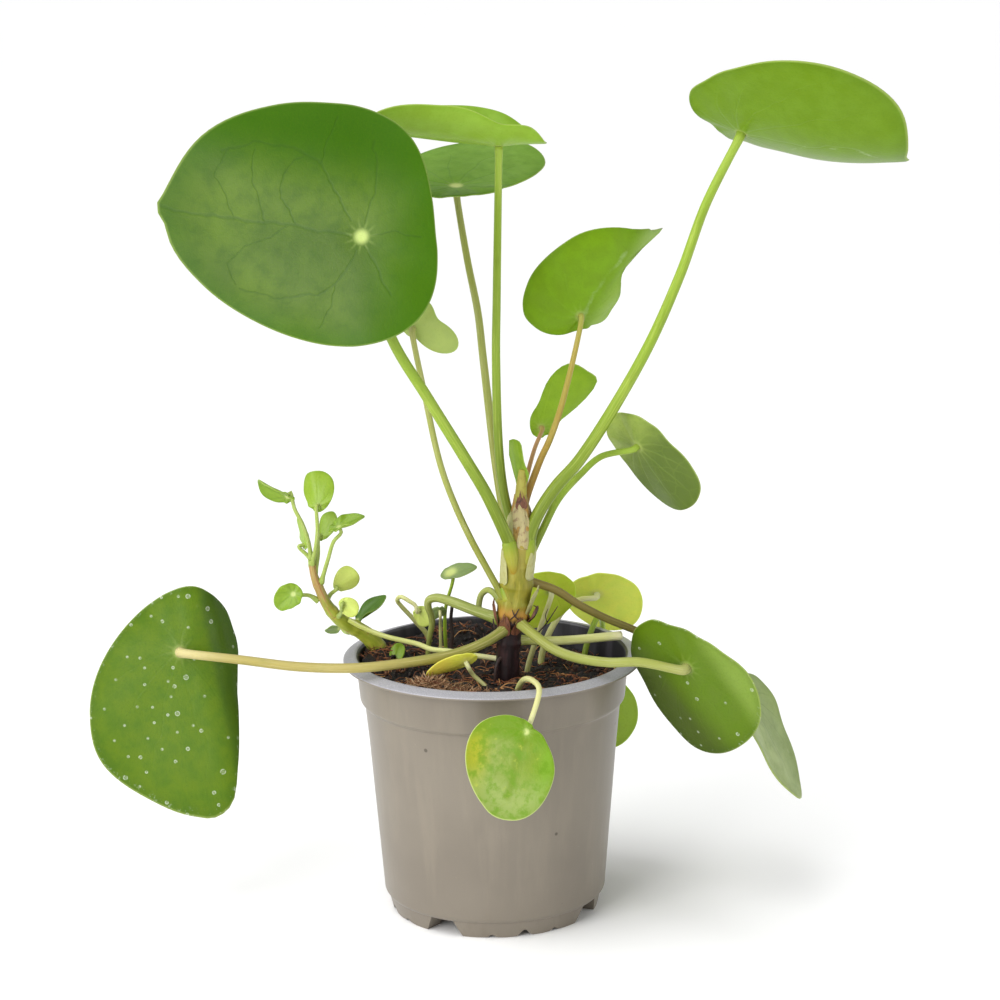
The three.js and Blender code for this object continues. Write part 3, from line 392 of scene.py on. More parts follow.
def folded(a, b, folds):
    """A flat blade's points, bent upward past each fold's start by its turn, over a width in mm."""
    x, y, z = a.copy(), b.copy(), np.zeros_like(a)
    for toward, start, turn, over in folds:
        side = math.radians(toward)
        angle = math.radians(turn)
        away = np.maximum(a * math.cos(side) + b * math.sin(side) - start, 0)
        curved = np.minimum(away, over)
        bend = angle / over
        along = np.sin(bend * curved) / bend + (away - curved) * math.cos(angle)
        x += (along - away) * math.cos(side)
        y += (along - away) * math.sin(side)
        z += (1 - np.cos(bend * curved)) / bend + (away - curved) * math.sin(angle)
    return np.stack([x, y, z], axis=-1)


def leaf_axes(leaf):
    """Directions to the blade's tip, across it and out of its upper side."""
    round_, up = (math.radians(v) for v in leaf["face"])
    roll = math.radians(leaf["roll"])
    normal = np.array([math.cos(up) * math.sin(round_), -math.cos(up) * math.cos(round_), math.sin(up)])
    down = np.array([math.sin(up) * math.sin(round_), -math.sin(up) * math.cos(round_), -math.cos(up)])
    to_tip = down * math.cos(roll) + np.cross(normal, down) * math.sin(roll)
    return to_tip, np.cross(normal, to_tip), normal


def blade(leaf, thickness, spokes, rings):
    """A closed blade with a rounded rim, a dimple at the dot and gentle waves."""
    angle = circle(spokes)
    reach = reach_at(leaf, angle)
    inner = np.linspace(0, 1, rings + 1)[1:]
    from_rim = [thickness * s for s in (1.0, 0.5, 0.2, 0.05, 0)]
    radii = [reach * s - thickness * 1.6 * s for s in inner] + [reach - d for d in from_rim]
    radii = np.array([np.zeros(spokes)] + radii)
    rim = np.clip((radii - (reach - thickness)) / thickness, 0, 1)
    taper = 0.5 * thickness * (1 - np.sqrt(np.clip(1 - rim ** 2, 0, 1)))
    seed = sum(map(ord, leaf["name"]))
    share = radii / reach
    sway = leaf.get("wave", 0.35) * share ** 2 * (
        np.sin(5 * angle + seed) + 0.7 * np.sin(9 * angle + 2.1 * seed)) * min(reach.max() / 40, 1)
    dent = DIMPLE * min(reach.max() / DIMPLE_SPAN, 1) * np.exp(-(radii / DIMPLE_RADIUS) ** 2)
    start, over, aside = leaf.get("sweep", (0, 1, 0))

    def spread(a, b):
        return folded(a, b, leaf["folds"])

    a = radii * np.cos(angle)
    b = radii * np.sin(angle) + aside * (np.maximum(a - start, 0) / over) ** 2
    nudge = 0.05
    spot = spread(a, b)
    normal = np.cross(spread(a + nudge, b) - spread(a - nudge, b),
                      spread(a, b + nudge) - spread(a, b - nudge))
    normal /= np.linalg.norm(normal, axis=-1)[..., None]
    rise = (sway - dent)[..., None]
    top = spot + normal * (rise - taper[..., None])
    under = spot + normal * (rise - (thickness - taper)[..., None])
    count = len(radii)
    axes = np.stack(leaf_axes(leaf))
    flat = np.stack([a, b, share], axis=-1)
    points = np.concatenate([top[0][:1], top[1:].reshape(-1, 3), under[0][:1], under[1:-1].reshape(-1, 3)])
    place = np.concatenate([flat[0][:1], flat[1:].reshape(-1, 3), flat[0][:1], flat[1:-1].reshape(-1, 3)])
    half = 1 + spokes * (count - 1)
    part = np.zeros(len(points))
    part[:half] = 1

    upper = [1 + r * spokes for r in range(count - 1)]
    lower = [half + start for start in upper[:-1]] + upper[-1:]
    faces = fan(0, upper[0], spokes, turned=True) + fan(half, lower[0], spokes)
    for r in range(count - 2):
        faces += ring(upper[r], upper[r + 1], spokes, turned=True) + ring(lower[r], lower[r + 1], spokes)
    return form(points @ axes + np.array(leaf["dot"], float), faces, place, part)


def stalk_end(leaf, thickness):
    """The stalk's last two points: square to the blade, and sunk into it at the dot."""
    normal = leaf_axes(leaf)[2]
    span = leaf.get("span") or max(leaf["reach"])
    sunk = DIMPLE * min(span / DIMPLE_SPAN, 1) + thickness * 0.6
    return [(np.array(leaf["dot"], float) - normal * back).tolist() for back in (NECK, sunk)]


# ---------- materials ----------
LIGHT_ON_PART = 1.2  # how much brighter than its own colour a lit surface shows in the studio


def rgba(code):
    """Linear surface colour that shows as the hex code under the studio's light."""
    parts = [int(code[i:i + 2], 16) / 255 for i in (1, 3, 5)]
    linear = [p / 12.92 if p <= 0.04045 else ((p + 0.055) / 1.055) ** 2.4 for p in parts]
    return [p / LIGHT_ON_PART for p in linear] + [1]


class Graph:
    """A short way to write the nodes of one material."""

    def __init__(self, name):
        self.material = bpy.data.materials.new(name)
        self.material.use_nodes = True
        self.tree = self.material.node_tree
        self.tree.nodes.clear()

    def node(self, kind, inputs=(), **settings):
        node = self.tree.nodes.new(kind)
        for key, value in settings.items():
            setattr(node, key, value)
        for key, value in dict(inputs).items():
            if isinstance(value, bpy.types.NodeSocket):
                self.tree.links.new(value, node.inputs[key])
            else:
                node.inputs[key].default_value = rgba(value) if isinstance(value, str) else value
        return node

    def value(self, name, output="Vector"):
        return self.node("ShaderNodeAttribute", attribute_name=name).outputs[output]

    def math(self, operation, a, b=0.0, c=0.0):
        return self.node("ShaderNodeMath", {0: a, 1: b, 2: c}, operation=operation).outputs[0]

    def add(self, a, b):
        return self.math("ADD", a, b)

    def times(self, a, b):
        return self.math("MULTIPLY", a, b)

    def madd(self, a, factor, more):
        return self.math("MULTIPLY_ADD", a, factor, more)

    def most(self, a, b):
        return self.math("MAXIMUM", a, b)

    def split(self, vector):
        return self.node("ShaderNodeSeparateXYZ", {0: vector}).outputs

    def vector(self, x, y, z=0.0):
        return self.node("ShaderNodeCombineXYZ", {0: x, 1: y, 2: z}).outputs[0]

    def noise(self, vector, scale, detail=3.0, roughness=0.5, distortion=0.0):
        return self.node("ShaderNodeTexNoise", {
            "Vector": vector, "Scale": scale, "Detail": detail, "Roughness": roughness,
            "Distortion": distortion}).outputs[0]

    def cells(self, vector, scale, feature="F1", dimensions="3D"):
        return self.node("ShaderNodeTexVoronoi", {"Vector": vector, "Scale": scale}, feature=feature,
                         voronoi_dimensions=dimensions).outputs

    def step(self, value, low, high, start=0.0, end=1.0):
        return self.node("ShaderNodeMapRange", {
            "Value": value, "From Min": low, "From Max": high, "To Min": start, "To Max": end,
        }, interpolation_type="SMOOTHSTEP").outputs[0]

    def mix(self, factor, a, b, mode="MIX"):
        node = self.node("ShaderNodeMix", data_type="RGBA", blend_type=mode)
        for key, value in ((0, factor), (6, a), (7, b)):
            if isinstance(value, bpy.types.NodeSocket):
                self.tree.links.new(value, node.inputs[key])
            else:
                node.inputs[key].default_value = rgba(value) if isinstance(value, str) else value
        return node.outputs[2]

    def layers(self, colour, rows):
        """Tints laid over a colour, one after another: (value, start, full, strength, tint).
        A tint begins where the value reaches start and has its strength at full."""
        for value, start, full, strength, tint in rows:
            colour = self.mix(self.step(value, start, full, 0.0, strength), colour, tint)
        return colour

    def warp(self, vector, scale, amount):
        """The vector, pushed about by noise."""
        push = self.node("ShaderNodeTexNoise", {"Vector": vector, "Scale": scale, "Detail": 2.0}).outputs[1]
        return self.node("ShaderNodeVectorMath", {0: push, 1: (amount, amount, amount), 2: vector},
                         operation="MULTIPLY_ADD").outputs[0]

    def away_from(self, vector, path):
        """Distance to the nearest stretch of a path of straight runs."""
        found = None
        for (x0, y0), (x1, y1) in zip(path, path[1:]):
            length = math.hypot(x1 - x0, y1 - y0)
            run = ((x1 - x0) / length, (y1 - y0) / length, 0.0)
            off = self.node("ShaderNodeVectorMath", {0: vector, 1: (x0, y0, 0.0)}, operation="SUBTRACT")
            along = self.node("ShaderNodeVectorMath", {0: off.outputs[0], 1: run}, operation="DOT_PRODUCT")
            held = self.node("ShaderNodeClamp", {0: along.outputs[1], 1: 0.0, 2: length}).outputs[0]
            foot = self.node("ShaderNodeVectorMath", {0: run, 3: held}, operation="SCALE").outputs[0]
            gap = self.node("ShaderNodeVectorMath", {0: off.outputs[0], 1: foot}, operation="DISTANCE")
            found = gap.outputs[1] if found is None else self.math("MINIMUM", found, gap.outputs[1])
        return found

    def bump(self, height, distance, strength=1.0):
        return self.node("ShaderNodeBump", {
            "Height": height, "Distance": distance, "Strength": strength}).outputs[0]

    def finish(self, colour, roughness, normal, glow=(), specular=None):
        """glow: weight, radius and scale of the light that passes under the skin."""
        inputs = {"Base Color": colour, "Roughness": roughness, "Normal": normal}
        inputs.update(zip(("Subsurface Weight", "Subsurface Radius", "Subsurface Scale"), glow))
        if specular is not None:
            inputs["Specular IOR Level"] = specular
        surface = self.node("ShaderNodeBsdfPrincipled", inputs)
        self.node("ShaderNodeOutputMaterial", {0: surface.outputs[0]})
        return self.material


UNDER_DOT = 0.6  # how much of the pale dot shows on the lower side


def leaf_material(name, base, light, shade, under, dot="#c7d37f", vein=0.3, veins=11, spots=0.0, edge=None,
                  bands=(), marks=(), paths=(), crease_sheens=(), fan=1.0, glow_size=4.0, mottle=1.0, shine=0.2,
                  rim=0.35):
    """base, light, shade: the upper side's greens; under: the lower side's. paths: veins drawn one by one;
    fan: strength of the main veins; bands: tints across a side, some of them painted shade and painted light
    on folded flanks and, on big_left, a painted band where no sheen falls; crease sheens: pale lines along
    folds on the lower side, a painted sheen; marks: blotches of (tint, strength, size, cover); mottle: light
    patches on the lower side; rim: strength of the pale edge."""
    g = Graph(name)
    a, b, share = g.split(g.value("place"))
    flat = g.vector(a, b)
    upper = g.step(g.value("part", "Fac"), 0.3, 0.7)
    radius = g.math("SQRT", g.add(g.times(a, a), g.times(b, b)))
    wide = g.noise(flat, 0.03, 2)
    cloud = g.noise(flat, 0.14, 4, 0.6)
    fine = g.noise(flat, 1.1, 3, 0.6)
    # main veins fan out from the dot and bend toward the tip
    turn = g.math("ARCTAN2", b, a)
    swing = g.times(g.times(g.math("SINE", turn), share), 0.5)
    wander = g.madd(g.noise(flat, 0.04, 2), 0.5, -0.25)
    spread = g.add(g.add(turn, swing), wander)
    wave = g.math("ABSOLUTE", g.math("SINE", g.times(spread, veins / 2)))
    apart = g.times(g.times(wave, radius), 2 / veins)
    main = g.times(g.step(apart, 0.75, 0.05), g.step(share, 1.0, 0.55))
    lines = g.times(main, fan)
    if paths:
        warped = g.node("ShaderNodeVectorMath", {0: g.node("ShaderNodeTexNoise", {
            "Vector": flat, "Scale": 0.1, "Detail": 2.0}).outputs[1], 1: (5.0, 5.0, 0.0), 2: flat},
            operation="MULTIPLY_ADD").outputs[0]
        for width, path in paths:
            away = g.away_from(warped, [(x + 2.5, y + 2.5) for x, y in path])
            lines = g.most(lines, g.step(away, width, width * 0.15))
    net = g.step(g.cells(g.warp(flat, 0.2, 3.0), 0.13, "DISTANCE_TO_EDGE", "2D")["Distance"], 0.07, 0.0)
    mesh = g.step(g.cells(g.warp(flat, 0.5, 1.2), 0.5, "DISTANCE_TO_EDGE", "2D")["Distance"], 0.16, 0.0)
    colour = g.layers(base, [
        (wide, 0.35, 0.65, 1.0, light),
        (cloud, 0.4, 0.75, 0.5, shade)])
    below = g.mix(g.step(cloud, 0.35, 0.7, 0.0, mottle), under, light)
    dull = g.step(share, 0.6, 1.0, 0.0, 0.4)
    for side, direction, start, end, tint, strength in bands:
        angle = math.radians(direction)
        across = g.add(g.times(a, math.cos(angle)), g.times(b, math.sin(angle)))
        if side == "upper":
            band = g.step(across, start, end, 0.0, strength)
            dull = g.most(dull, band)
            colour = g.mix(band, colour, tint)
        else:
            below = g.mix(g.step(across, start, end, 0.0, strength), below, tint)
    # Darker towards the rim; big_left's edge tint here is part of its painted band where no sheen falls.
    colour = g.layers(colour, [(share, 0.8, 1.0, 0.3, edge or shade)])
    below = g.layers(below, [(share, 0.86, 1.0, 0.25, shade)])
    below = g.mix(g.times(lines, vein * 0.5), below, light)
    below = g.mix(g.times(net, vein * 0.3), below, light)
    below = g.layers(below, [(fine, 0.5, 0.75, 0.25, shade)])
    colour = g.mix(g.times(lines, vein), colour, shade)
    colour = g.mix(g.times(net, vein * 0.22), colour, shade)
    colour = g.mix(g.times(mesh, 0.07), colour, light)
    ray = g.times(g.step(radius, glow_size * 2, glow_size * 0.6), g.times(main, 0.18))
    glow = g.most(g.step(radius, glow_size, glow_size * 0.25), ray)
    colour = g.mix(glow, colour, dot)
    below = g.mix(g.times(glow, UNDER_DOT), below, dot)
    # Painted sheen: pale lines along the folds, on the lower side.
    for width, path, tint, strength in crease_sheens:
        away = g.add(g.away_from(g.warp(flat, 0.12, 3.0), [(x + 1.5, y + 1.5) for x, y in path]),
                      g.madd(fine, 0.8, -0.4))
        below = g.mix(g.step(away, width, width * 0.4, 0.0, strength), below, tint)
    colour = g.mix(upper, below, colour)
    for tint, strength, size, cover in marks:
        patch = g.step(g.noise(flat, size, 4, 0.65), 1 - cover, 1.18 - cover, 0.0, strength)
        colour = g.mix(patch, colour, tint)
    colour = g.layers(colour, [(share, 0.98, 0.999, rim, dot)])
    relief = g.madd(fine, 0.12, g.times(cloud, 0.8))
    relief = g.madd(mesh, -0.1, relief)
    relief = g.madd(lines, -0.8 * vein, relief)
    gloss = g.madd(cloud, 0.16, 0.3)
    if spots:
        cell = g.cells(flat, 0.15, "F1", "2D")
        chosen = g.step(g.split(cell["Color"])[0], 0.98 - spots, 1 - spots)
        from_centre = g.math("DIVIDE", cell["Distance"], 0.15)
        size = g.madd(g.math("POWER", g.split(cell["Color"])[1], 2.0), 0.7, 0.22)
        broken = g.step(g.noise(flat, 1.1, 2), 0.3, 0.55)
        off_ring = g.math("ABSOLUTE", g.math("SUBTRACT", from_centre, size))
        outline = g.times(g.step(off_ring, 0.32, 0.08), broken)
        film = g.times(g.step(from_centre, 0.9, 0.3), 0.35)
        chalk = g.times(g.most(outline, film), chosen)
        crust = g.times(g.step(share, 0.93, 0.99), g.step(g.noise(flat, 0.5, 3, 0.7), 0.55, 0.68))
        chalk = g.most(chalk, g.times(crust, 0.55))
        colour = g.mix(g.times(chalk, 0.62), colour, "#d5dec8")
    return g.finish(colour, gloss, g.bump(relief, 0.0003, 0.5), glow=(0.1, (0.4, 0.8, 0.1), 0.001),
                    specular=g.madd(dull, -shine, shine * 1.1))


def stalk_material(name, low, high, streak, tip=None):
    """Green stalks: fine lengthwise streaks, and a colour that changes from root to blade."""
    g = Graph(name)
    run, y, z = g.split(g.value("place"))
    share = g.value("part", "Fac")
    grain = g.vector(g.times(run, 0.03), y, z)
    lines = g.noise(grain, 1.6, 3, 0.6)
    blot = g.noise(g.vector(g.times(run, 0.16), g.times(y, 0.4), z), 0.5, 3, 0.6)
    colour = g.layers(low, [
        (share, 0.02, 0.5, 1.0, high),
        (share, 0.8, 1.0, 1.0, tip or high),
        (lines, 0.45, 0.75, 0.65, streak),
        (blot, 0.5, 0.8, 0.45, low)])
    pits = g.noise(g.vector(run, y, z), 2.2, 2)
    relief = g.madd(lines, 0.7, g.times(pits, 0.3))
    return g.finish(colour, g.madd(lines, 0.2, 0.34), g.bump(relief, 0.00025, 0.6),
                    glow=(0.15, (0.8, 1.0, 0.3), 0.0012),
                    specular=0.25)


def stem_material():
    """Dark purple-brown at the soil, then olive to yellow-green, with scars and corky flecks."""
    g = Graph("stem_skin")
    run, y, z = g.split(g.value("place"))
    around = g.vector(g.times(run, 0.35), y, z)
    streak = g.noise(g.vector(g.times(run, 0.07), y, z), 0.8, 4, 0.65)
    cloud = g.noise(around, 0.35, 4, 0.65)
    height = g.add(run, g.madd(cloud, 7.0, -3.5))
    colour = g.layers("#858424", [
        (cloud, 0.35, 0.65, 1.0, "#9c932c"),
        (height, 56.0, 66.0, 1.0, "#a79d42"),
        (height, 68.0, 80.0, 1.0, "#b68e4a"),
        (streak, 0.52, 0.75, 0.5, "#7d7028"),
        (streak, 0.48, 0.25, 0.5, "#bdb862"),
        (height, 48.0, 43.0, 0.8, "#c08a3c")])
    cork = g.step(g.noise(around, 1.1, 4, 0.7), 0.6, 0.72)
    colour = g.mix(g.times(cork, 0.45), colour, "#6a4524")
    purple = g.mix(g.step(cloud, 0.4, 0.7), "#1c0d0f", "#3c201f")
    colour = g.layers(colour, [(height, 43.0, 40.0, 1.0, purple)])
    relief = g.madd(streak, 0.8, g.times(cork, 0.5))
    return g.finish(colour, g.madd(cloud, 0.25, 0.38), g.bump(relief, 0.0005, 0.7),
                    specular=0.3, glow=(0.08, (1.0, 0.8, 0.3), 0.001))


def offshoot_material():
    """Green-olive at the foot, orange-brown further up, with leaf scars; its leaf stalks are green."""
    g = Graph("offshoot_skin")
    run, y, z = g.split(g.value("place"))
    share = g.value("part", "Fac")
    cloud = g.noise(g.vector(g.times(run, 0.3), y, z), 0.5, 4, 0.65)
    streak = g.noise(g.vector(g.times(run, 0.05), y, z), 1.2, 3, 0.6)
    at = g.add(share, g.madd(cloud, 0.36, -0.18))
    colour = g.layers("#9ca92c", [
        (cloud, 0.4, 0.65, 1.0, "#b7bb40"),
        (at, 0.66, 0.85, 1.0, "#b5a058")])
    rust = g.times(g.step(at, 0.48, 0.85), g.step(streak, 0.46, 0.62, 0.0, 0.75))
    colour = g.mix(rust, colour, "#b0693f")
    colour = g.layers(colour, [(streak, 0.42, 0.2, 0.6, "#c3bd68")])
    rings = g.math("ABSOLUTE", g.math("SINE", g.times(run, 0.37)))
    scar = g.times(g.step(rings, 0.16, 0.02), g.step(cloud, 0.48, 0.62))
    colour = g.mix(g.times(scar, 0.6), colour, "#a35a2c")
    stalk = g.layers("#a08a48", [
        (share, 2.05, 2.5, 1.0, "#a3b852"),
        (streak, 0.48, 0.7, 0.5, "#c6d08a")])
    colour = g.layers(colour, [(share, 1.4, 1.6, 1.0, stalk)])
    relief = g.madd(scar, -0.6, streak)
    return g.finish(colour, g.madd(cloud, 0.2, 0.36), g.bump(relief, 0.0004, 0.7),
                    glow=(0.1, (1.0, 0.8, 0.3), 0.001))


def pot_material():
    """Thermoformed taupe plastic, satin outside. The lip's top face is painted lighter blue-grey, a painted
    sheen, and the inner wall is painted dark, painted shade inside the pot.
    """
    g = Graph("taupe_plastic")
    around, height, spin = g.split(g.value("place"))
    zone = g.value("part", "Fac")
    skin = g.vector(around, height, spin)
    flow = g.noise(g.vector(around, g.times(height, 0.12), spin), 0.12, 4, 0.6)
    cloud = g.noise(skin, 0.025, 3)
    grain = g.noise(skin, 2.4, 3, 0.6)
    colour = g.layers("#80776a", [
        (cloud, 0.3, 0.7, 1.0, "#898072"),
        (flow, 0.45, 0.7, 0.35, "#958b7b"),
        (grain, 0.5, 0.8, 0.15, "#686154")])
    dust = g.step(g.noise(skin, 0.35, 5, 0.75), 0.66, 0.74, 0.0, 0.35)
    colour = g.mix(dust, colour, "#a8a192")
    # Darker in patches over the bottom 20 mm of the pot.
    darker_low = g.times(g.step(height, 20.0, 0.0), g.step(flow, 0.45, 0.65, 0.0, 0.4))
    colour = g.mix(darker_low, colour, "#6a5f4f")
    specks = g.step(g.cells(skin, 0.07)["Distance"], 0.07, 0.04, 0.0, 0.8)
    colour = g.mix(specks, colour, "#4a4236")
    # Painted sheen: the lip's top face gets a lighter blue-grey in place of the taupe.
    lip = g.mix(g.step(grain, 0.4, 0.7), "#9c9ba1", "#b8b6bc")
    # Painted shade: the inner wall above the soil is painted near black, in lighter and darker patches.
    inner = g.mix(g.step(flow, 0.4, 0.65), "#2c2b2f", "#4c4a50")
    colour = g.layers(colour, [
        (zone, 0.3, 0.7, 1.0, lip),
        (zone, 1.3, 1.7, 1.0, inner)])
    gloss = g.madd(cloud, 0.12, 0.3)
    relief = g.madd(flow, 1.0, g.times(grain, 0.12))
    return g.finish(colour, gloss, g.bump(relief, 0.0003, 0.35), specular=0.45)


def soil_material():
    """Moist peat: near black with brown crumbs."""
    g = Graph("peat")
    place = g.value("place")
    lump = g.noise(place, 0.12, 5, 0.7)
    crumb = g.noise(place, 0.7, 5, 0.75)
    grit = g.cells(place, 0.55)["Distance"]
    colour = g.layers("#0d0705", [
        (crumb, 0.4, 0.68, 1.0, "#26170f"),
        (lump, 0.52, 0.72, 0.55, "#45291a"),
        (crumb, 0.66, 0.78, 0.7, "#7a4d2c")])
    relief = g.add(g.times(crumb, 1.2), grit)
    return g.finish(colour, g.madd(crumb, 0.3, 0.6), g.bump(relief, 0.0012, 0.9))


def fibre_material(name, dark, mid, pale):
    """Coir and bark crumbs: every fibre has its own tint."""
    g = Graph(name)
    tint = g.value("part", "Fac")
    grain = g.noise(g.value("place"), 0.9, 4, 0.7)
    colour = g.layers(dark, [
        (tint, 0.1, 0.55, 1.0, mid),
        (tint, 0.6, 1.0, 1.0, pale),
        (grain, 0.45, 0.75, 0.5, dark)])
    return g.finish(colour, g.madd(grain, 0.3, 0.55), g.bump(grain, 0.0003, 0.7))


def scale_material(name, dark, pale, nerves=0.5):
    """Dry papery scales with lengthwise nerves and blotches."""
    g = Graph(name)
    a, b, share = g.split(g.value("place"))
    nerve = g.noise(g.vector(g.times(a, 0.12), b), 1.6, 4, 0.65)
    cloud = g.noise(g.vector(a, b), 0.4, 4, 0.6)
    colour = g.layers(pale, [
        (nerve, 0.45, 0.75, nerves, dark),
        (cloud, 0.5, 0.68, 0.75, dark),
        (share, 0.85, 1.0, 0.4, pale)])
    return g.finish(colour, g.madd(nerve, 0.3, 0.4), g.bump(nerve, 0.0003, 0.6),
                    glow=(0.25, (1.0, 0.8, 0.4), 0.001))


def sheath_material():
    """Broad stalk bases: green at the top, orange-yellow where they run into the stem."""
    g = Graph("sheath_skin")
    run, y, z = g.split(g.value("place"))
    share = g.value("part", "Fac")
    streak = g.noise(g.vector(g.times(run, 0.05), y, z), 1.3, 3, 0.6)
    at = g.add(share, g.madd(streak, 0.3, -0.15))
    colour = g.layers("#88a02c", [
        (at, 0.15, 0.6, 1.0, "#a9a83c"),
        (at, 0.6, 1.0, 1.0, "#b98f34"),
        (streak, 0.5, 0.75, 0.5, "#b8bb5c")])
    return g.finish(colour, g.madd(streak, 0.2, 0.32), g.bump(streak, 0.0003, 0.6),
                    glow=(0.15, (0.9, 0.8, 0.3), 0.001),
                    specular=0.25)


# ---------- leaf materials: a few families, and a look of its own for each large leaf ----------
GREENS = {
    "big_left": ("#476412", "#567312", "#335512", "#6f883c"),
    "top_bowl": ("#84aa23", "#94bb3e", "#6d9512", "#8eb235"),
    "top_flat": ("#679212", "#78a230", "#517f12", "#82a934"),
    "upper_right": ("#638512", "#73971d", "#4d7112", "#6d9012"),
    "folded_tip": ("#699312", "#7ba512", "#557d12", "#759b12"),
    "curled": ("#84ad12", "#95bb2a", "#6a9712", "#8db22a"),
    "right_middle": ("#869c3f", "#98af50", "#6a832a", "#a8bd5b"),
    "behind_left": ("#a9c160", "#bcd06f", "#8dae53", "#b4c86c"),
    "low_left": ("#486a12", "#537512", "#385812", "#607d12"),
    "low_right": ("#506d11", "#608011", "#3b5511", "#627f18"),
    "far_right": ("#8fa35e", "#abbd75", "#768c48", "#a9bb7b"),
    "yellow_back": ("#dff156", "#f7ff69", "#c2db4c", "#ecfc67"),
    # Painted light: back_bright's greens are made much lighter than the leaf's own, to make up for the shade
    # it stands in.
    "back_bright": ("#caed39", "#edff5d", "#b1d32d", "#dffb4a"),
    "front": ("#7f9829", "#94a654", "#6b8812", "#90a34f"),
    "behind_pot": ("#a6d149", "#c2e757", "#8ab43c", "#c2e85b"),
    "in_pot_yellow": ("#f5f05a", "#fffb68", "#d3d950", "#ecec54"),
    "thin_left": ("#788f50", "#92a46b", "#647c40", "#8c9f62"),
}
BIG_LEFT_VEINS = [
    (1.1, [(4.3, 0.0), (27.4, 1.9), (52.8, 3.6), (66.4, 5.1), (78.9, 5.0)]),
    (0.8, [(5.6, -5.0), (22.7, -23.7), (29.8, -26.2), (49.7, -26.3), (60.2, -19.8)]),
    (0.56, [(24.7, 1.7), (33.3, -7.2), (34.9, -17.7), (29.3, -24.7)]),
    (0.51, [(36.8, 3.1), (45.7, -11.9), (48.7, -23.0)]),
    (0.48, [(49.2, 3.4), (60.4, -11.2), (59.0, -20.0)]),
    (0.72, [(0.4, 6.0), (4.6, 19.0), (11.4, 25.0), (26.7, 29.0), (40.2, 28.9)]),
    (0.48, [(27.3, 2.2), (42.1, 12.6), (47.1, 21.3), (42.4, 27.9)]),
    (0.64, [(-2.9, 3.8), (-10.6, 10.9), (-16.4, 19.0)]),
    (0.72, [(0.2, -5.4), (-1.4, -15.7), (0.6, -27.3), (5.5, -36.2)]),
    (0.48, [(-4.0, -1.0), (-13.3, -4.5), (-21.8, -4.1)]),
    (0.45, [(4.6, 19.0), (5.0, 27.4), (7.1, 36.1)]),
    (0.45, [(22.7, -23.7), (21.5, -34.4), (20.9, -42.7)]),
]
LOOKS = {
    # Painted reflection: on big_left the dark bands along the top, tip and right, and its dark edge tint,
    # stand in for where the sheen doesn't fall.
    "big_left": dict(
        vein=0.42, mottle=0.35, dot="#b9cc74", fan=0.0, shine=0.17, paths=BIG_LEFT_VEINS, edge="#3f6a0e",
        bands=[("upper", -90, 4, 36, "#35600a", 0.9), ("upper", 180, -4, 27, "#3f6a0e", 0.85),
               ("upper", 90, 26, 46, "#456d12", 0.6)]),
    # Painted shade: the dark band darkens the flank that folds away from the light.
    "low_left": dict(spots=0.5, vein=0.25, bands=[("under", -90, 10, 14, "#3f5e12", 0.65)]),
    # Painted shade and painted light: one flank is painted darker and the other lighter, as light falls
    # across the fold.
    "low_right": dict(spots=0.28, vein=0.3, bands=[
        ("under", 80, 4, 22, "#4d5d26", 0.85), ("under", -90, 8, 18, "#94b04e", 0.6)]),
    "far_right": dict(vein=0.4, marks=(("#aab58c", 0.5, 0.3, 0.42),)),
    "front": dict(dot="#c9d687", glow_size=2.0, rim=0.9, fan=0.4, vein=0.5,
                  paths=[(2.6, [(3.0, -0.4), (9.0, -1.2), (19.0, -2.5), (26.0, -3.0)])],
                  bands=[("upper", 90, 3, 10, "#7aa62e", 0.8), ("upper", -90, 10, 18, "#b0b02c", 0.8),
                         ("upper", 0, 12, 28, "#9bad64", 0.8), ("upper", 180, -8, -1, "#6f9426", 0.85)],
                  marks=(("#6a9420", 0.7, 0.17, 0.54), ("#c0c64e", 0.5, 0.24, 0.42),
                         ("#6e6a2a", 0.6, 0.35, 0.32))),
    "yellow_back": dict(dot="#d4d890"),
    "in_pot_yellow": dict(dot="#d9d27a", bands=[("under", 0, 3, 11, "#f4e05a", 0.9),
                                                ("upper", 0, 3, 11, "#f4e05a", 0.9)]),
    # Painted sheen: the pale line along the curled leaf's fold.
    "curled": dict(glow_size=2.6, rim=0.7, vein=0.45, crease_sheens=[
        (1.0, [(0.5, -0.7), (7.7, -1.5), (11.4, -1.4), (15.8, 5.9), (22.9, 8.9)], "#bcd67c", 0.65)]),
    # Painted light: the band lightens the folded flank that the fold turns from the light; its crease line is
    # a painted sheen.
    "folded_tip": dict(glow_size=3.0, bands=[("under", 90, 1, 9, "#9cbe4a", 0.8)], crease_sheens=[
        (1.8, [(0.4, 0.6), (11.1, 0), (19, 0.6), (27, 2.6), (34.3, 2.1), (44.1, 3.5)], "#b2c98a", 0.5)]),
    "right_middle": dict(vein=0.4, bands=[("under", 0, -12, 10, "#5f7436", 0.9)]),
    # Painted sheen: the pale lines along the folds near the lower edge.
    "upper_right": dict(vein=0.45, crease_sheens=[
        (1.5, [(18.5, 7.1), (28.9, -2.5), (37.1, -3.6), (44.5, -0.4)], "#b4c88e", 0.55),
        (1.7, [(37.0, -2.0), (46.7, -2.0), (54.8, 6.9), (62.0, 14.2)], "#bccba0", 0.65)]),
    "top_flat": dict(vein=0.4),
    "behind_left": dict(glow_size=2.2),
}
YOUNG = {
    "young_leaf_1": ("#7fa026", "#94b338", "#64861e", "#9ab844"),
    "young_leaf_2": ("#80a026", "#93b232", "#688a1c", "#8fae34"),
    "young_leaf_3": ("#bcd051", "#d3e271", "#a2b940", "#d4e271"),
    "dark_young_leaf_9": ("#50781a", "#648c24", "#3c6012", "#789a34"),
    "dark_young_leaf_10": ("#7c9650", "#90a768", "#64803c", "#95ab6c"),
}

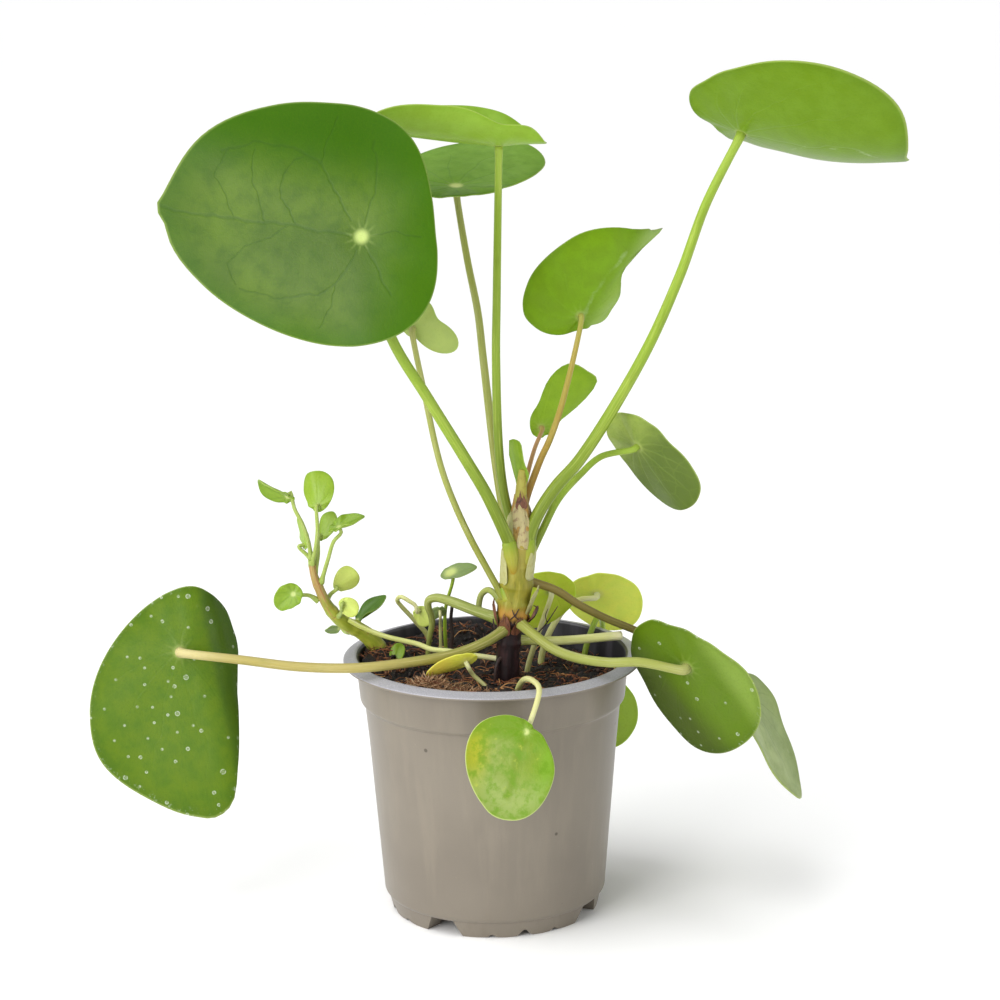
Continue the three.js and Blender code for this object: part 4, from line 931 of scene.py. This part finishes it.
STALKS = {
    "green": stalk_material("green_stalk", "#758826", "#93b036", "#bbcb5c", "#a7c349"),
    "mint": stalk_material("mint_stalk", "#93983c", "#a6ad58", "#c4c58a", "#b0b268"),
    "pale": stalk_material("pale_stalk", "#b4b95c", "#d2d08e", "#e6e4ba", "#dfe0ac"),
    "tan": stalk_material("tan_stalk", "#84873a", "#aea059", "#c9bd84", "#d2c68c"),
    "olive": stalk_material("olive_stalk", "#87933f", "#a0a957", "#c3c78a", "#a9ad60"),
    "cut": stalk_material("cut_stalk", "#bec560", "#dddf90", "#f6f4c3", "#ece9b4"),
    "orange": stalk_material("orange_stalk", "#b5873e", "#b5a34a", "#cdb872", "#abae4e"),
    "pink": stalk_material("pink_stalk", "#b08245", "#bf9464", "#d8b78b", "#b9a860"),
    "brown": stalk_material("brown_stalk", "#8a7a3c", "#6b6428", "#9a9050", "#7a7630"),
}
LEAF_STALKS = {
    "folded_tip": ("orange", "red_stalk"), "curled": ("pink", "red_stalk"),
    "far_right": ("brown", "brown_stalk"), "low_left": ("tan", "pale_stalk"),
    "front": ("pale", "pale_stalk"), "low_right": ("mint", "green_stalk"),
    "top_flat": ("mint", "green_stalk"), "behind_left": ("mint", "green_stalk"),
    "yellow_back": ("pale", "pale_stalk"), "in_pot_yellow": ("pale", "pale_stalk"),
    "back_bright": ("pale", "green_stalk"),
}

SMALL_LEAF = dict(vein=0.4, veins=7, dot="#c3d27c", glow_size=1.6, shine=0.3)
young = {name: leaf_material(name, *tints, **SMALL_LEAF) for name, tints in YOUNG.items()}

# ---------- leaves on their stalks ----------
for leaf in LEAVES:
    name = leaf["name"]
    thickness, grid = (SMALL_BLADE, (88, 14)) if leaf.get("small") else (LARGE_BLADE, (132, 22))
    look, slot = LEAF_STALKS.get(name, ("green", "green_stalk"))
    make(f"{name}_leaf_blade", blade(leaf, thickness, *grid),
         leaf_material(f"{name}_skin", *GREENS[name], **LOOKS.get(name, {})),
         f"{name}_blade")
    make(f"{name}_leaf_stalk", tube(leaf["stalk"] + stalk_end(leaf, thickness), leaf["thick"], 16, 64,
                                    (0.35, 0.18)), STALKS[look], f"{name}_stalk")


def small_blade(name, item, pointed=1.0, broad=0.0, fold=22):
    """A small leaf's data and its blade."""
    leaf = dict(item, name=name, wave=1.3, folds=both(0, fold, 4))
    if "rim" not in item:
        leaf["reach"] = egg(*item["size"], pointed, broad)
    return leaf, blade(leaf, SMALL_BLADE, 72, 12)


# ---------- offshoot ----------
def offshoot_ripple(share, angle):
    return 1 + 0.09 * max(math.sin(share * 31), 0) ** 6 + 0.03 * np.sin(3 * angle + share * 9)


offshoot_parts = [tube(OFFSHOOT_LINE, None, 28, 90, ripple=offshoot_ripple)]
for i, item in enumerate(OFFSHOOT_LEAVES):
    leaf, shape = small_blade(f"offshoot_leaf_{i + 1}", item, *item["shape"])
    make(f"offshoot_blade_{i + 1}", shape, young[item["skin"]], leaf["name"])
    line = leaf["stalk"] + stalk_end(leaf, SMALL_BLADE)
    offshoot_parts.append(tube(line, [0.9, 0.7], 12, 24, (0.5, 0.1), 2.5, part=2.5))
make("offshoot", joined(offshoot_parts), offshoot_material(), "offshoot_stem")

# ---------- bare stalks and small leaves ----------
for name, node, look, sides, steps, flare, thick, line in BARE_STALKS:
    make(name, tube(line, thick, sides, steps, flare), STALKS[look], node)
for name, item, pointed, skin in (("looped", LOOPED, 1.0, "young_leaf_3"),
                                  ("pale", PALE_LEAF, 1.5, "dark_young_leaf_10")):
    leaf, shape = small_blade(f"{name}_leaf", item, pointed)
    make(f"{name}_small_blade", shape, young[skin], f"{name}_leaf")
    line = leaf["line"] + stalk_end(leaf, SMALL_BLADE)
    make(f"{name}_small_stalk", tube(line, leaf["thick"], 14, 48), STALKS["cut"],
         f"{name}_stalk")
for name, item, fold, node in (("apex", APEX_LEAF, 30, "apex_leaf"), ("sprout", SPROUT, 22, "sprout")):
    make(f"{name}_blade", small_blade(node, item, fold=fold)[1], young["young_leaf_2"], node)


# ---------- stem ----------
LEAF_SCARS = (0.34, 0.43, 0.52, 0.6, 0.69, 0.78, 0.86)  # how far up the stem its rings are


def stem_ripple(share, angle):
    scar = sum(math.exp(-((share - at) / 0.012) ** 2) for at in LEAF_SCARS)
    lobes = 0.035 * np.sin(3 * angle + 14 * share) + 0.02 * np.sin(7 * angle - 25 * share)
    return 1 + 0.06 * scar * (1 + 0.6 * np.sin(2 * angle + 40 * share)) + lobes


make("upright_stem", tube(STEM_LINE, None, 44, 180, ripple=stem_ripple), stem_material(), "main_stem")


# ---------- papery scales round the stem ----------
HUSK_THICKNESS = 0.3


def stem_at(z):
    """Middle and radius of the main stem at a height."""
    x, y, height, radius = zip(*STEM_LINE)
    return [np.interp(z, height, values) for values in (x, y, radius)]


def husk(low, high, mid, half, gap, flare, phase, ragged=0.0, point=0.5, steps=26, across=22):
    """A thin scale that wraps part of the stem. mid and half: degrees round from the front;
    gap: how far off the stem; flare: how far its top stands out; point: how narrow its top is."""
    rows = []
    flat = []
    for share in np.linspace(0, 1, steps + 1):
        t = np.linspace(-1, 1, across + 1)
        width = half * (1 - share ** 2 * point) * math.sqrt(max(1 - (2 * share - 1) ** 8, 0.12))
        angle = np.radians(mid + width * t)
        top = high + ragged * (np.sin(5 * t + phase) + 0.6 * np.sin(11 * t + 2 * phase)) * share
        z = low + (top - low) * share - (high - low) * 0.12 * t ** 2 * share
        x0, y0, radius = stem_at(z)
        bulge = math.sin(math.pi * share)
        reach = radius + gap * (0.25 + bulge) + flare * share ** 2 + 0.18 * np.sin(6 * t + 4 * share + phase)
        rows.append((x0 + reach * np.sin(angle), y0 - reach * np.cos(angle), z,
                     np.sin(angle), -np.cos(angle)))
        flat.append(np.stack([np.full_like(t, (high - low) * share), t * radius, np.full_like(t, share)], 1))
    grid = np.array([np.stack(row, 1) for row in rows])
    edge = np.ones(grid.shape[:2])
    edge[:, [0, -1]] = 0.15
    edge[[0, -1], :] = 0.15
    outer = grid[..., :3]
    inner = outer.copy()
    inner[..., :2] -= grid[..., 3:] * HUSK_THICKNESS * edge[..., None]
    points = np.concatenate([outer.reshape(-1, 3), inner.reshape(-1, 3)])
    place = np.concatenate(flat + flat)
    count = across + 1
    half_count = (steps + 1) * count
    faces = []
    for i in range(steps):
        for k in range(across):
            a = i * count + k
            face = [a, a + 1, a + 1 + count, a + count]
            faces.append(face)
            faces.append([corner + half_count for corner in face[:1] + face[:0:-1]])
    rows = range(0, half_count, count)
    rim = list(range(count)) + [row + across for row in rows[1:]]
    rim += list(range(rows[-1] + across - 1, rows[-1] - 1, -1)) + list(rows[-2:0:-1])
    for a, b in zip(rim, rim[1:] + rim[:1]):
        faces.append([b, a, a + half_count, b + half_count])
    return form(points, faces, place, 1)


HUSKS = {kind: scale_material(f"{kind}_husk", *tints) for kind, tints in (
    ("pale", ("#a5a24e", "#bfbd80", 0.35)),
    ("brown", ("#2e1410", "#7a4a30", 0.6)),
    ("beige", ("#8b6a4c", "#bfb27c", 0.3)))}
# Each scale: low, high, mid, half, gap, flare, phase, ragged, point, as husk() takes them.
for kind, slot, scales in (
    ("pale", "pale_leaf", [
        (139, 154, -76, 44, 0.55, 0.4, 1.0), (141, 156, 68, 40, 0.7, 0.7, 2.2),
        (127, 138, 74, 34, 0.8, 2.6, 0.5, 0.7), (156, 169, -64, 40, 0.5, 0.5, 3.0),
        (152, 166, 120, 50, 0.6, 0.7, 4.0), (138, 153, 175, 55, 0.7, 0.7, 5.0)]),
    ("beige", "dry_wood", [
        (154, 169, 30, 40, 0.35, 0.2, 1.5, 0.3), (162, 174, -16, 54, 0.35, 0.1, 2.5, 0.3, 0.6),
        (160, 175, 165, 80, 0.4, 0.2, 0.3, 0, 0.6)]),
    ("brown", "dry_wood", [
        (169.5, 178, 4, 40, 0.5, 0.3, 0.7, 0.8, 0.8), (121, 132, -86, 32, 0.8, 2.2, 1.9, 1.1),
        (121.5, 129.5, 76, 26, 0.8, 3.4, 4.4, 1.0), (118.5, 127, -30, 30, 0.5, 0.8, 2.8, 1.0),
        (118, 127, 150, 60, 0.6, 1.8, 3.3, 1.2), (119, 126, 28, 26, 0.5, 0.9, 5.2, 0.9)]),
):
    make(f"{kind}_scales", joined([husk(*scale) for scale in scales]), HUSKS[kind])

# Bars of one material: (piece, slot, material, [(line, radii, sides, steps), ...]).
for name, slot, material, bars in (
    ("stalk_sheath", "stem", sheath_material(), [
        ([[6.2, -23.6, 161], [7.4, -23.6, 155.5], [8.3, -23.8, 150], [8.8, -23.4, 146],
         [9, -22.2, 142.5]], [1.2, 2.9, 3.0, 2.0, 0.6], 20, 40),
        ([[16.4, -20, 160], [14.8, -20.4, 153], [13.4, -20.4, 146], [12.6, -20, 141]],
         [1.2, 2.9, 2.2, 0.6], 18, 30),
        ([[4.4, -20, 138], [6.6, -21, 133.5], [8.4, -21, 129]], [1.2, 2.4, 1.0], 16, 24)]),
    ("young_stipule", "stem", scale_material("young_stipule", "#8a6428", "#b0aa44", 0.7), [
        ([[11.6, -18.6, 168], [12.1, -18.8, 175], [12.5, -18.9, 181], [12.6, -19, 185]],
         [2.4, 2.4, 2.1, 1.2], 18, 30)]),
    ("dark_rootlets", "dry_wood", scale_material("root_bark", "#120a0a", "#3a2019", 0.6), [
        ([[7.4, -24.4, 126], [9.4, -25, 128], [10.8, -25, 130.4]], [0.22, 0.3, 0.15], 8, 14),
        ([[10.6, -25, 126], [9, -25.2, 127.8], [8.2, -24.8, 130]], [0.22, 0.26, 0.15], 8, 14),
        ([[18.5, -15, 118], [21.6, -15.5, 121.6], [24, -16, 125.4], [26.3, -16, 129]],
         [0.26, 0.26, 0.22, 0.14], 8, 24),
        ([[22, -15.6, 122], [21.4, -15.8, 125], [22.4, -16, 128]], [0.22, 0.2, 0.12], 8, 16),
        ([[14.6, -21, 124], [17, -22, 127], [18, -22, 130], [16.6, -22, 131]],
         [0.4, 0.45, 0.35, 0.2], 8, 24),
        ([[3.4, -21, 119], [1.4, -22.6, 121.6], [0.6, -23, 126]], [0.6, 0.5, 0.24], 10, 20),
        ([[4, -21, 110], [2, -23.2, 107.8], [1.2, -24.4, 104.2], [1, -25, 98]],
         [0.8, 0.7, 0.6, 0.4], 10, 24)]),
):
    make(name, joined([tube(*bar) for bar in bars]), material)

dry = fibre_material("dry_wood_grain", "#1d110c", "#3d2a20", "#6b4c33")
make("dry_stick", tube(DRY_TWIG, [0.7, 0.9], 10, 40), dry, "dry_twig")


# ---------- pot ----------
def rounded(corners, steps=5):
    """The profile with each corner that has a radius turned into an arc."""
    out = []
    for i, (r, z, radius) in enumerate(corners):
        here = np.array([r, z], float)
        if not radius or i in (0, len(corners) - 1):
            out.append(here)
            continue
        back = np.array(corners[i - 1][:2]) - here
        ahead = np.array(corners[i + 1][:2]) - here
        cut = min(radius, 0.45 * np.linalg.norm(back), 0.45 * np.linalg.norm(ahead))
        start = here + back / np.linalg.norm(back) * cut
        end = here + ahead / np.linalg.norm(ahead) * cut
        for t in np.linspace(0, 1, steps):
            out.append((1 - t) ** 2 * start + 2 * t * (1 - t) * here + t * t * end)
    return np.array(out)


def lathe(profile, sides, zone):
    """A body turned about the Z axis; zone(r, z, k) gives the part that profile point k belongs to."""
    angle = circle(sides)
    around = np.stack([np.sin(angle), -np.cos(angle)], 1)
    points = []
    part = []
    last = len(profile) - 1
    for k, (r, z) in enumerate(profile):
        row = around if 0 < k < last else np.zeros((1, 2))
        points.append(np.column_stack([r * row, np.full(len(row), z)]))
        part += [zone(r, z, k)] * len(row)
    points = np.concatenate(points)
    starts = range(1, 1 + (last - 1) * sides, sides)
    rows = [fan(0, 1, sides)] + [ring(low, high, sides) for low, high in zip(starts, starts[1:])]
    rows.append([[low, high, tip] for tip, low, high in fan(len(points) - 1, starts[-1], sides, turned=True)])
    faces = [face for column in zip(*rows) for face in column]
    return form(points, faces, points[:, [0, 2, 1]] * [1, 1, -1], part)


FLOOR_TOP = FOOT_HEIGHT + 1.6
FOOT_SLOPE = 3
OUTSIDE = [
    (0, FOOT_HEIGHT, 0), (BODY_BOTTOM_RADIUS - 1.2, FOOT_HEIGHT, 0.5),
    (BODY_BOTTOM_RADIUS, FOOT_HEIGHT + 1.4, 0.8), (BODY_BOTTOM_RADIUS + 1.6, 28, 0),
    (BODY_BOTTOM_RADIUS + 3.4, 50, 0), (BODY_BOTTOM_RADIUS + 5, 70, 0),
    (BODY_TOP_RADIUS, COLLAR_STEP_HEIGHT - 1.6, 0.8), (COLLAR_BOTTOM_RADIUS, COLLAR_STEP_HEIGHT, 0.8),
    (COLLAR_TOP_RADIUS, LIP_EDGE_HEIGHT - 1.4, 0.5), (COLLAR_TOP_RADIUS + 1, LIP_EDGE_HEIGHT - 0.7, 0.4),
    (LIP_RADIUS, LIP_EDGE_HEIGHT - LIP_THICKNESS, 0.45),
]
TOP = [(LIP_RADIUS, LIP_EDGE_HEIGHT, 0.45), (LIP_INNER_RADIUS, LIP_TOP_HEIGHT, 1.2)]
INSIDE = [
    (COLLAR_TOP_RADIUS - WALL, LIP_TOP_HEIGHT - 0.9, 0.5),
    (COLLAR_BOTTOM_RADIUS - WALL, COLLAR_STEP_HEIGHT + 1, 0.6),
    (BODY_TOP_RADIUS - WALL, COLLAR_STEP_HEIGHT - 2, 0.6), (BODY_BOTTOM_RADIUS - WALL, FLOOR_TOP + 1, 0.5),
    (BODY_BOTTOM_RADIUS - 2.4, FLOOR_TOP, 0.4), (0, FLOOR_TOP, 0),
]


LIP_START = len(rounded(OUTSIDE)) + 5  # the profile's points from here on are inside


def pot_zone(r, z, k):
    """0: outside, 1: lip, 2: inside."""
    if z >= LIP_EDGE_HEIGHT - 0.35 and r > LIP_INNER_RADIUS - 0.4:
        return 1
    return 2 if k >= LIP_START else 0


def foot(centre):
    """One foot: a curved wall whose lower edge rises over the notches."""
    steps = 80
    middle_radius = (FOOT_INNER_RADIUS + FOOT_OUTER_RADIUS) / 2
    degrees = np.linspace(FOOT_GAP_DEGREES / 2, 90 - FOOT_GAP_DEGREES / 2, steps + 1)
    run = np.radians(degrees) * (FOOT_INNER_RADIUS + FOOT_OUTER_RADIUS) / 2 - math.radians(45) * middle_radius
    low = np.zeros(steps + 1)
    for turn, width, depth in FOOT_NOTCHES:
        off = run - math.radians(turn) * middle_radius
        low = np.maximum(low, depth * np.exp(-(off / (width * 0.45)) ** 2))
        low = np.maximum(low, 0.7 - 0.7 * np.clip(np.abs(off) / (width * 1.6), 0, 1) ** 0.7)
    from_end = np.minimum(run - run[0], run[-1] - run)
    low = np.maximum(low, FOOT_HEIGHT * (1 - from_end / FOOT_SLOPE))
    angle = np.radians(degrees + centre)
    top = FOOT_HEIGHT + 0.5
    wide = BODY_BOTTOM_RADIUS - 1.3
    outer = FOOT_OUTER_RADIUS + (wide - FOOT_OUTER_RADIUS) * low / top
    count = steps + 1
    high = np.full(count, top)
    rows = [np.stack([r * np.sin(angle), -r * np.cos(angle), z], 1)
            for r, z in ((FOOT_INNER_RADIUS, high), (FOOT_INNER_RADIUS, low), (outer, low), (wide, high))]
    points = np.concatenate(rows)
    starts = [k * count for k in range(4)]
    faces = [starts, [start + steps for start in starts[::-1]]]
    for i in range(steps):
        for this, other in zip(starts, starts[1:] + starts[:1]):
            faces.append([this + i, this + i + 1, other + i + 1, other + i])
    return form(points, faces, points[:, [0, 2, 1]] * [1, 1, -1], 0)


def drilled(shape, name):
    """The form with the round drainage holes cut through its floor."""
    body = new_object(name, shape)
    plugs = []
    for i in range(DRAIN_COUNT):
        turn = 2 * math.pi * i / DRAIN_COUNT
        spot = (-DRAIN_CIRCLE_RADIUS * math.sin(turn), DRAIN_CIRCLE_RADIUS * math.cos(turn))
        line = [[*spot, z] for z in (FOOT_HEIGHT - 3, FOOT_HEIGHT + 1, FLOOR_TOP + 3)]
        plugs.append(tube(line, [DRAIN_RADIUS, DRAIN_RADIUS], 32, 2))
    holes = joined(plugs)
    cutter_mesh = bpy.data.meshes.new("drain_cutter")
    cutter_mesh.from_pydata(holes["points"].tolist(), [], holes["faces"])
    cutter = bpy.data.objects.new("drain_cutter", cutter_mesh)
    bpy.context.collection.objects.link(cutter)
    cut = body.modifiers.new("holes", "BOOLEAN")
    cut.operation = "DIFFERENCE"
    cut.solver = "EXACT"
    cut.object = cutter
    result = bpy.data.meshes.new_from_object(body.evaluated_get(bpy.context.evaluated_depsgraph_get()))
    points = np.array([v.co[:] for v in result.vertices])
    place = np.array([d.vector[:] for d in result.attributes["place"].data])
    part = np.array([d.value for d in result.attributes["part"].data])
    faces = [list(face.vertices) for face in result.polygons]
    for mesh in (body.data, cutter_mesh, result):
        bpy.data.meshes.remove(mesh)
    return form(points, faces, place, part)


pot_body = drilled(lathe(rounded(OUTSIDE + TOP + INSIDE), 192, pot_zone), "pot_shell")
make("nursery_pot", joined([pot_body] + [foot(centre) for centre in FOOT_GAP_CENTRES]), pot_material(),
     "pot", sharp=40)


# ---------- soil ----------
LOOSE_HEAPS = [(-8, 44, 8, 13), (-24, 40, 4, 11), (-27, -43, 5.2, 9), (6, -47, 3, 11), (44, -14, 2, 12)]


def soil_height(x, y):
    """Height of the peat, with its loose heaps against the wall."""
    heaps = sum(height * np.exp(-((x - across) ** 2 + (y - along) ** 2) / (2 * width ** 2))
                for across, along, height, width in SOIL_HEAPS + LOOSE_HEAPS)
    crumbs = np.sin(x * 0.61 + 1.3) * np.cos(y * 0.53) + 0.6 * np.sin(x * 0.27 - y * 0.43 + 2)
    return SOIL_LEVEL + heaps + SOIL_BUMP * crumbs


def pot_inner_radius(z):
    radii, heights, _ = zip(*INSIDE[-2::-1])
    return float(np.interp(z, heights, radii))


rng = np.random.default_rng(7)
SOIL_EDGE = pot_inner_radius(SOIL_LEVEL) - GAP - 0.2


def crumble(x, y):
    """Fine unevenness of the peat, in mm."""
    out = np.zeros_like(x)
    for i, (pitch, height) in enumerate(((0.35, 0.5), (0.8, 0.45), (1.7, 0.35), (2.9, 0.2))):
        turn = 0.7 + i * 1.9
        u = x * math.cos(turn) + y * math.sin(turn)
        v = y * math.cos(turn) - x * math.sin(turn)
        out += height * np.sin(u * pitch + i) * np.sin(v * pitch * 1.13 + 2.3 * i + np.sin(u * pitch * 0.6))
    return out


def soil_form(spokes=160, rings=64):
    angle = circle(spokes)
    points = [[0, 0, float(soil_height(0.0, 0.0))]]
    for r in range(1, rings + 1):
        x = SOIL_EDGE * r / rings * np.cos(angle)
        y = SOIL_EDGE * r / rings * np.sin(angle)
        z = soil_height(x, y) + crumble(x, y) + rng.normal(0, 0.12, spokes)
        if r > rings - 3:
            z = np.minimum(z, LIP_TOP_HEIGHT - 0.8)
        points += np.stack([x, y, z], 1).tolist()
    base = FLOOR_TOP + GAP
    wall = [(pot_inner_radius(88) - 0.5, 86), (pot_inner_radius(base + 1.2) - 0.6, base + 1.2),
            (pot_inner_radius(base + 1.2) - 2.2, base)]
    for radius, z in wall:
        points += np.stack([radius * np.cos(angle), radius * np.sin(angle), np.full(spokes, z)], 1).tolist()
    points.append([0, 0, base])
    starts = range(1, len(points) - 1, spokes)
    faces = fan(0, 1, spokes, turned=True) + fan(len(points) - 1, starts[-1], spokes)
    for low, high in zip(starts, starts[1:]):
        faces += ring(low, high, spokes, turned=True)
    return form(points, faces, points, 0)


make("peat_soil", soil_form(), soil_material(), "soil")


def scatter(count, centre=(0, 0), spread=None, edge=SOIL_EDGE - 2):
    """Seeded spots on the soil."""
    spots = []
    while len(spots) < count:
        x, y = rng.uniform(-edge, edge, 2) if spread is None else rng.normal(centre, spread)
        if math.hypot(x, y) < edge:
            spots.append((x, y, float(soil_height(x, y))))
    return spots


def fibre(x, y, z, length, thick, lift):
    """A bent fibre that lies on the soil; lift: how high its middle stands."""
    turn = rng.uniform(0, 2 * math.pi)
    bow = rng.normal(0, 0.25)
    points = []
    for t in np.linspace(-0.5, 0.5, 4):
        px = x + length * t * math.cos(turn) - bow * length * (t * t) * math.sin(turn)
        py = y + length * t * math.sin(turn) + bow * length * (t * t) * math.cos(turn)
        shrink = min(1, (SOIL_EDGE - 0.8) / max(math.hypot(px, py), 1))
        points.append([px * shrink, py * shrink, z + lift * (1.2 - 4 * t * t) + rng.normal(0, 0.25)])
    return tube(points, [thick, thick * 0.9, thick * 0.5], 5, 7, part=rng.uniform(0, 1))


def grain_shape():
    """Corners and faces of a 20-sided grain."""
    phi = (1 + 5 ** 0.5) / 2
    corners = np.array([corner for a in (-1, 1) for b in (-phi, phi)
                        for corner in ((a, b, 0), (0, a, b), (b, 0, a))])
    faces = []
    for i, j, k in itertools.combinations(range(12), 3):
        a, b, c = corners[[i, j, k]]
        if max(np.linalg.norm(a - b), np.linalg.norm(b - c), np.linalg.norm(c - a)) < 2.1:
            out = np.cross(b - a, c - a).dot(a + b + c)
            faces.append([i, j, k] if out > 0 else [i, k, j])
    return corners / 1.9, faces


GRAIN, GRAIN_FACES = grain_shape()


def crumb(x, y, z, size):
    """A grain that lies on the soil."""
    corners = GRAIN * rng.uniform(0.65, 1.15, (12, 1)) * size * rng.uniform(0.6, 1.3, 3)
    return form(corners + [x, y, z + 0.2], GRAIN_FACES, corners, rng.uniform(0, 1))


def straw(x, y, z, length, thick):
    """A short stiff fibre that stands out of the soil at an angle."""
    turn = rng.uniform(0, 2 * math.pi)
    rise = math.radians(rng.uniform(5, 55))
    way = np.array([math.cos(turn) * math.cos(rise), math.sin(turn) * math.cos(rise), math.sin(rise)])
    sag = np.array([0, 0, -rng.uniform(0, 0.12) * length])
    foot = np.array([x, y, z - 0.4])
    line = [foot, foot + way * length * 0.5 + sag * 0.2, foot + way * length + sag]
    return tube([p.tolist() for p in line], [thick, thick * 0.8, thick * 0.4], 5, 5, part=rng.uniform(0, 1))


def strewn(piece, spots, *spans):
    """One piece on each spot; spans: the ranges that its sizes are drawn from."""
    return [piece(*spot, *(rng.uniform(*span) for span in spans)) for spot in spots]


crumbs = strewn(crumb, scatter(900), (0.4, 1.4))
make("soil_crumbs", joined(crumbs), fibre_material("bark_crumbs", "#120a07", "#331d12", "#74492a"))
threads = strewn(fibre, scatter(420), (3, 12), (0.14, 0.3), (0, 1.4))
threads += strewn(straw, scatter(320), (2, 5), (0.12, 0.24))
threads += strewn(straw, scatter(160, (-47, 4), (6, 9), SOIL_EDGE - 0.5), (2, 5), (0.12, 0.22))
make("coir_fibres", joined(threads), fibre_material("coir", "#43200f", "#94552c", "#c8935a"))
straws = strewn(straw, scatter(900, (-26, -44), (11, 5), SOIL_EDGE + 0.8), (2, 5), (0.12, 0.22))
straws += strewn(straw, scatter(120, (2, -46), (14, 4), SOIL_EDGE - 0.3), (2, 4.5), (0.12, 0.2))
make("straw_fibres", joined(straws), fibre_material("straw", "#754a2b", "#aa8059", "#c8aa84"))


# ---------- studio ----------
def plain_material(name, level, roughness):
    g = Graph(name)
    spot = g.node("ShaderNodeNewGeometry").outputs["Position"]
    soft = g.noise(spot, 3.0, 2)
    return g.finish(g.mix(soft, [level] * 3 + [1], [level * 1.02] * 3 + [1]), roughness,
                    g.bump(soft, 0.0001, 0.1))


def floor():
    """Flat for ten metres, then a gentle rise, so that low views don't see past its edge."""
    sides = 96
    turn = circle(sides)
    profile = [(2, 0), (6, 0), (10, 0), (12, 0.06), (14, 0.25), (16, 0.6), (18, 1.1), (20, 1.75), (22, 2.5),
               (24, 3.4)]
    points = [(0, 0, 0)]
    for radius, height in profile:
        points += np.stack([radius * np.cos(turn), radius * np.sin(turn), np.full(sides, height)], 1).tolist()
    starts = range(1, len(points), sides)
    faces = fan(0, 1, sides, turned=True)
    for low, high in zip(starts, starts[1:]):
        faces += ring(low, high, sides, turned=True)
    mesh = bpy.data.meshes.new("studio_floor")
    mesh.from_pydata(points, [], faces)
    mesh.shade_smooth()
    mesh.materials.append(plain_material("pale_floor", 0.94, 0.9))
    piece = bpy.data.objects.new("studio_floor", mesh)
    bpy.context.collection.objects.link(piece)


def place_light(name, light, spot, aim):
    lamp = bpy.data.objects.new(name, light)
    lamp.location = spot
    lamp.rotation_euler = (Vector(aim) - Vector(spot)).to_track_quat("-Z", "Y").to_euler()
    bpy.context.collection.objects.link(lamp)


def area_light(name, spot, aim, width, height, power):
    light = bpy.data.lights.new(name, "AREA")
    light.shape = "RECTANGLE"
    light.size = width
    light.size_y = height
    light.energy = power
    place_light(name, light, spot, aim)


floor()
area_light("left_softbox", (-0.85, -1.1, 0.62), (0, 0, 0.17), 0.8, 0.9, 14)
area_light("right_softbox", (1.2, -0.55, 0.6), (0, 0, 0.12), 0.5, 1.0, 3.5)
sky = bpy.data.lights.new("sky_panel", "SUN")
sky.angle = math.radians(60)
sky.energy = 2.3
place_light("sky_panel", sky, (0, 0, 0), (0.5, 0.15, -1.0))

world = bpy.data.worlds.new("studio")
world.use_nodes = True
world.node_tree.nodes["Background"].inputs[0].default_value = (1, 1, 1, 1)
world.node_tree.nodes["Background"].inputs[1].default_value = 0.42
bpy.context.scene.world = world
bpy.context.scene.view_settings.view_transform = "Standard"

# The photograph's camera, worked out from the pot's circles: degrees down and of roll, mm, and metres.
CAMERA_DOWN = 13.07
CAMERA_ROLL = -0.67
CAMERA_LENS = 101.05
CAMERA_SPOT = (0.0039, -1.088, 0.4212)
camera_data = bpy.data.cameras.new("camera")
camera_data.sensor_width = 36
camera_data.lens = CAMERA_LENS
camera = bpy.data.objects.new("camera", camera_data)
pitch = math.radians(CAMERA_DOWN)
roll = math.radians(CAMERA_ROLL)
forward = Vector((0, math.cos(pitch), -math.sin(pitch)))
up = Vector((0, math.sin(pitch), math.cos(pitch)))
right = Vector((1, 0, 0))
turned_up = up * math.cos(roll) - right * math.sin(roll)
turned_right = right * math.cos(roll) + up * math.sin(roll)
axes = Matrix((turned_right, turned_up, -forward)).transposed().to_4x4()
camera.matrix_world = Matrix.Translation(CAMERA_SPOT) @ axes
bpy.context.collection.objects.link(camera)
bpy.context.scene.camera = camera
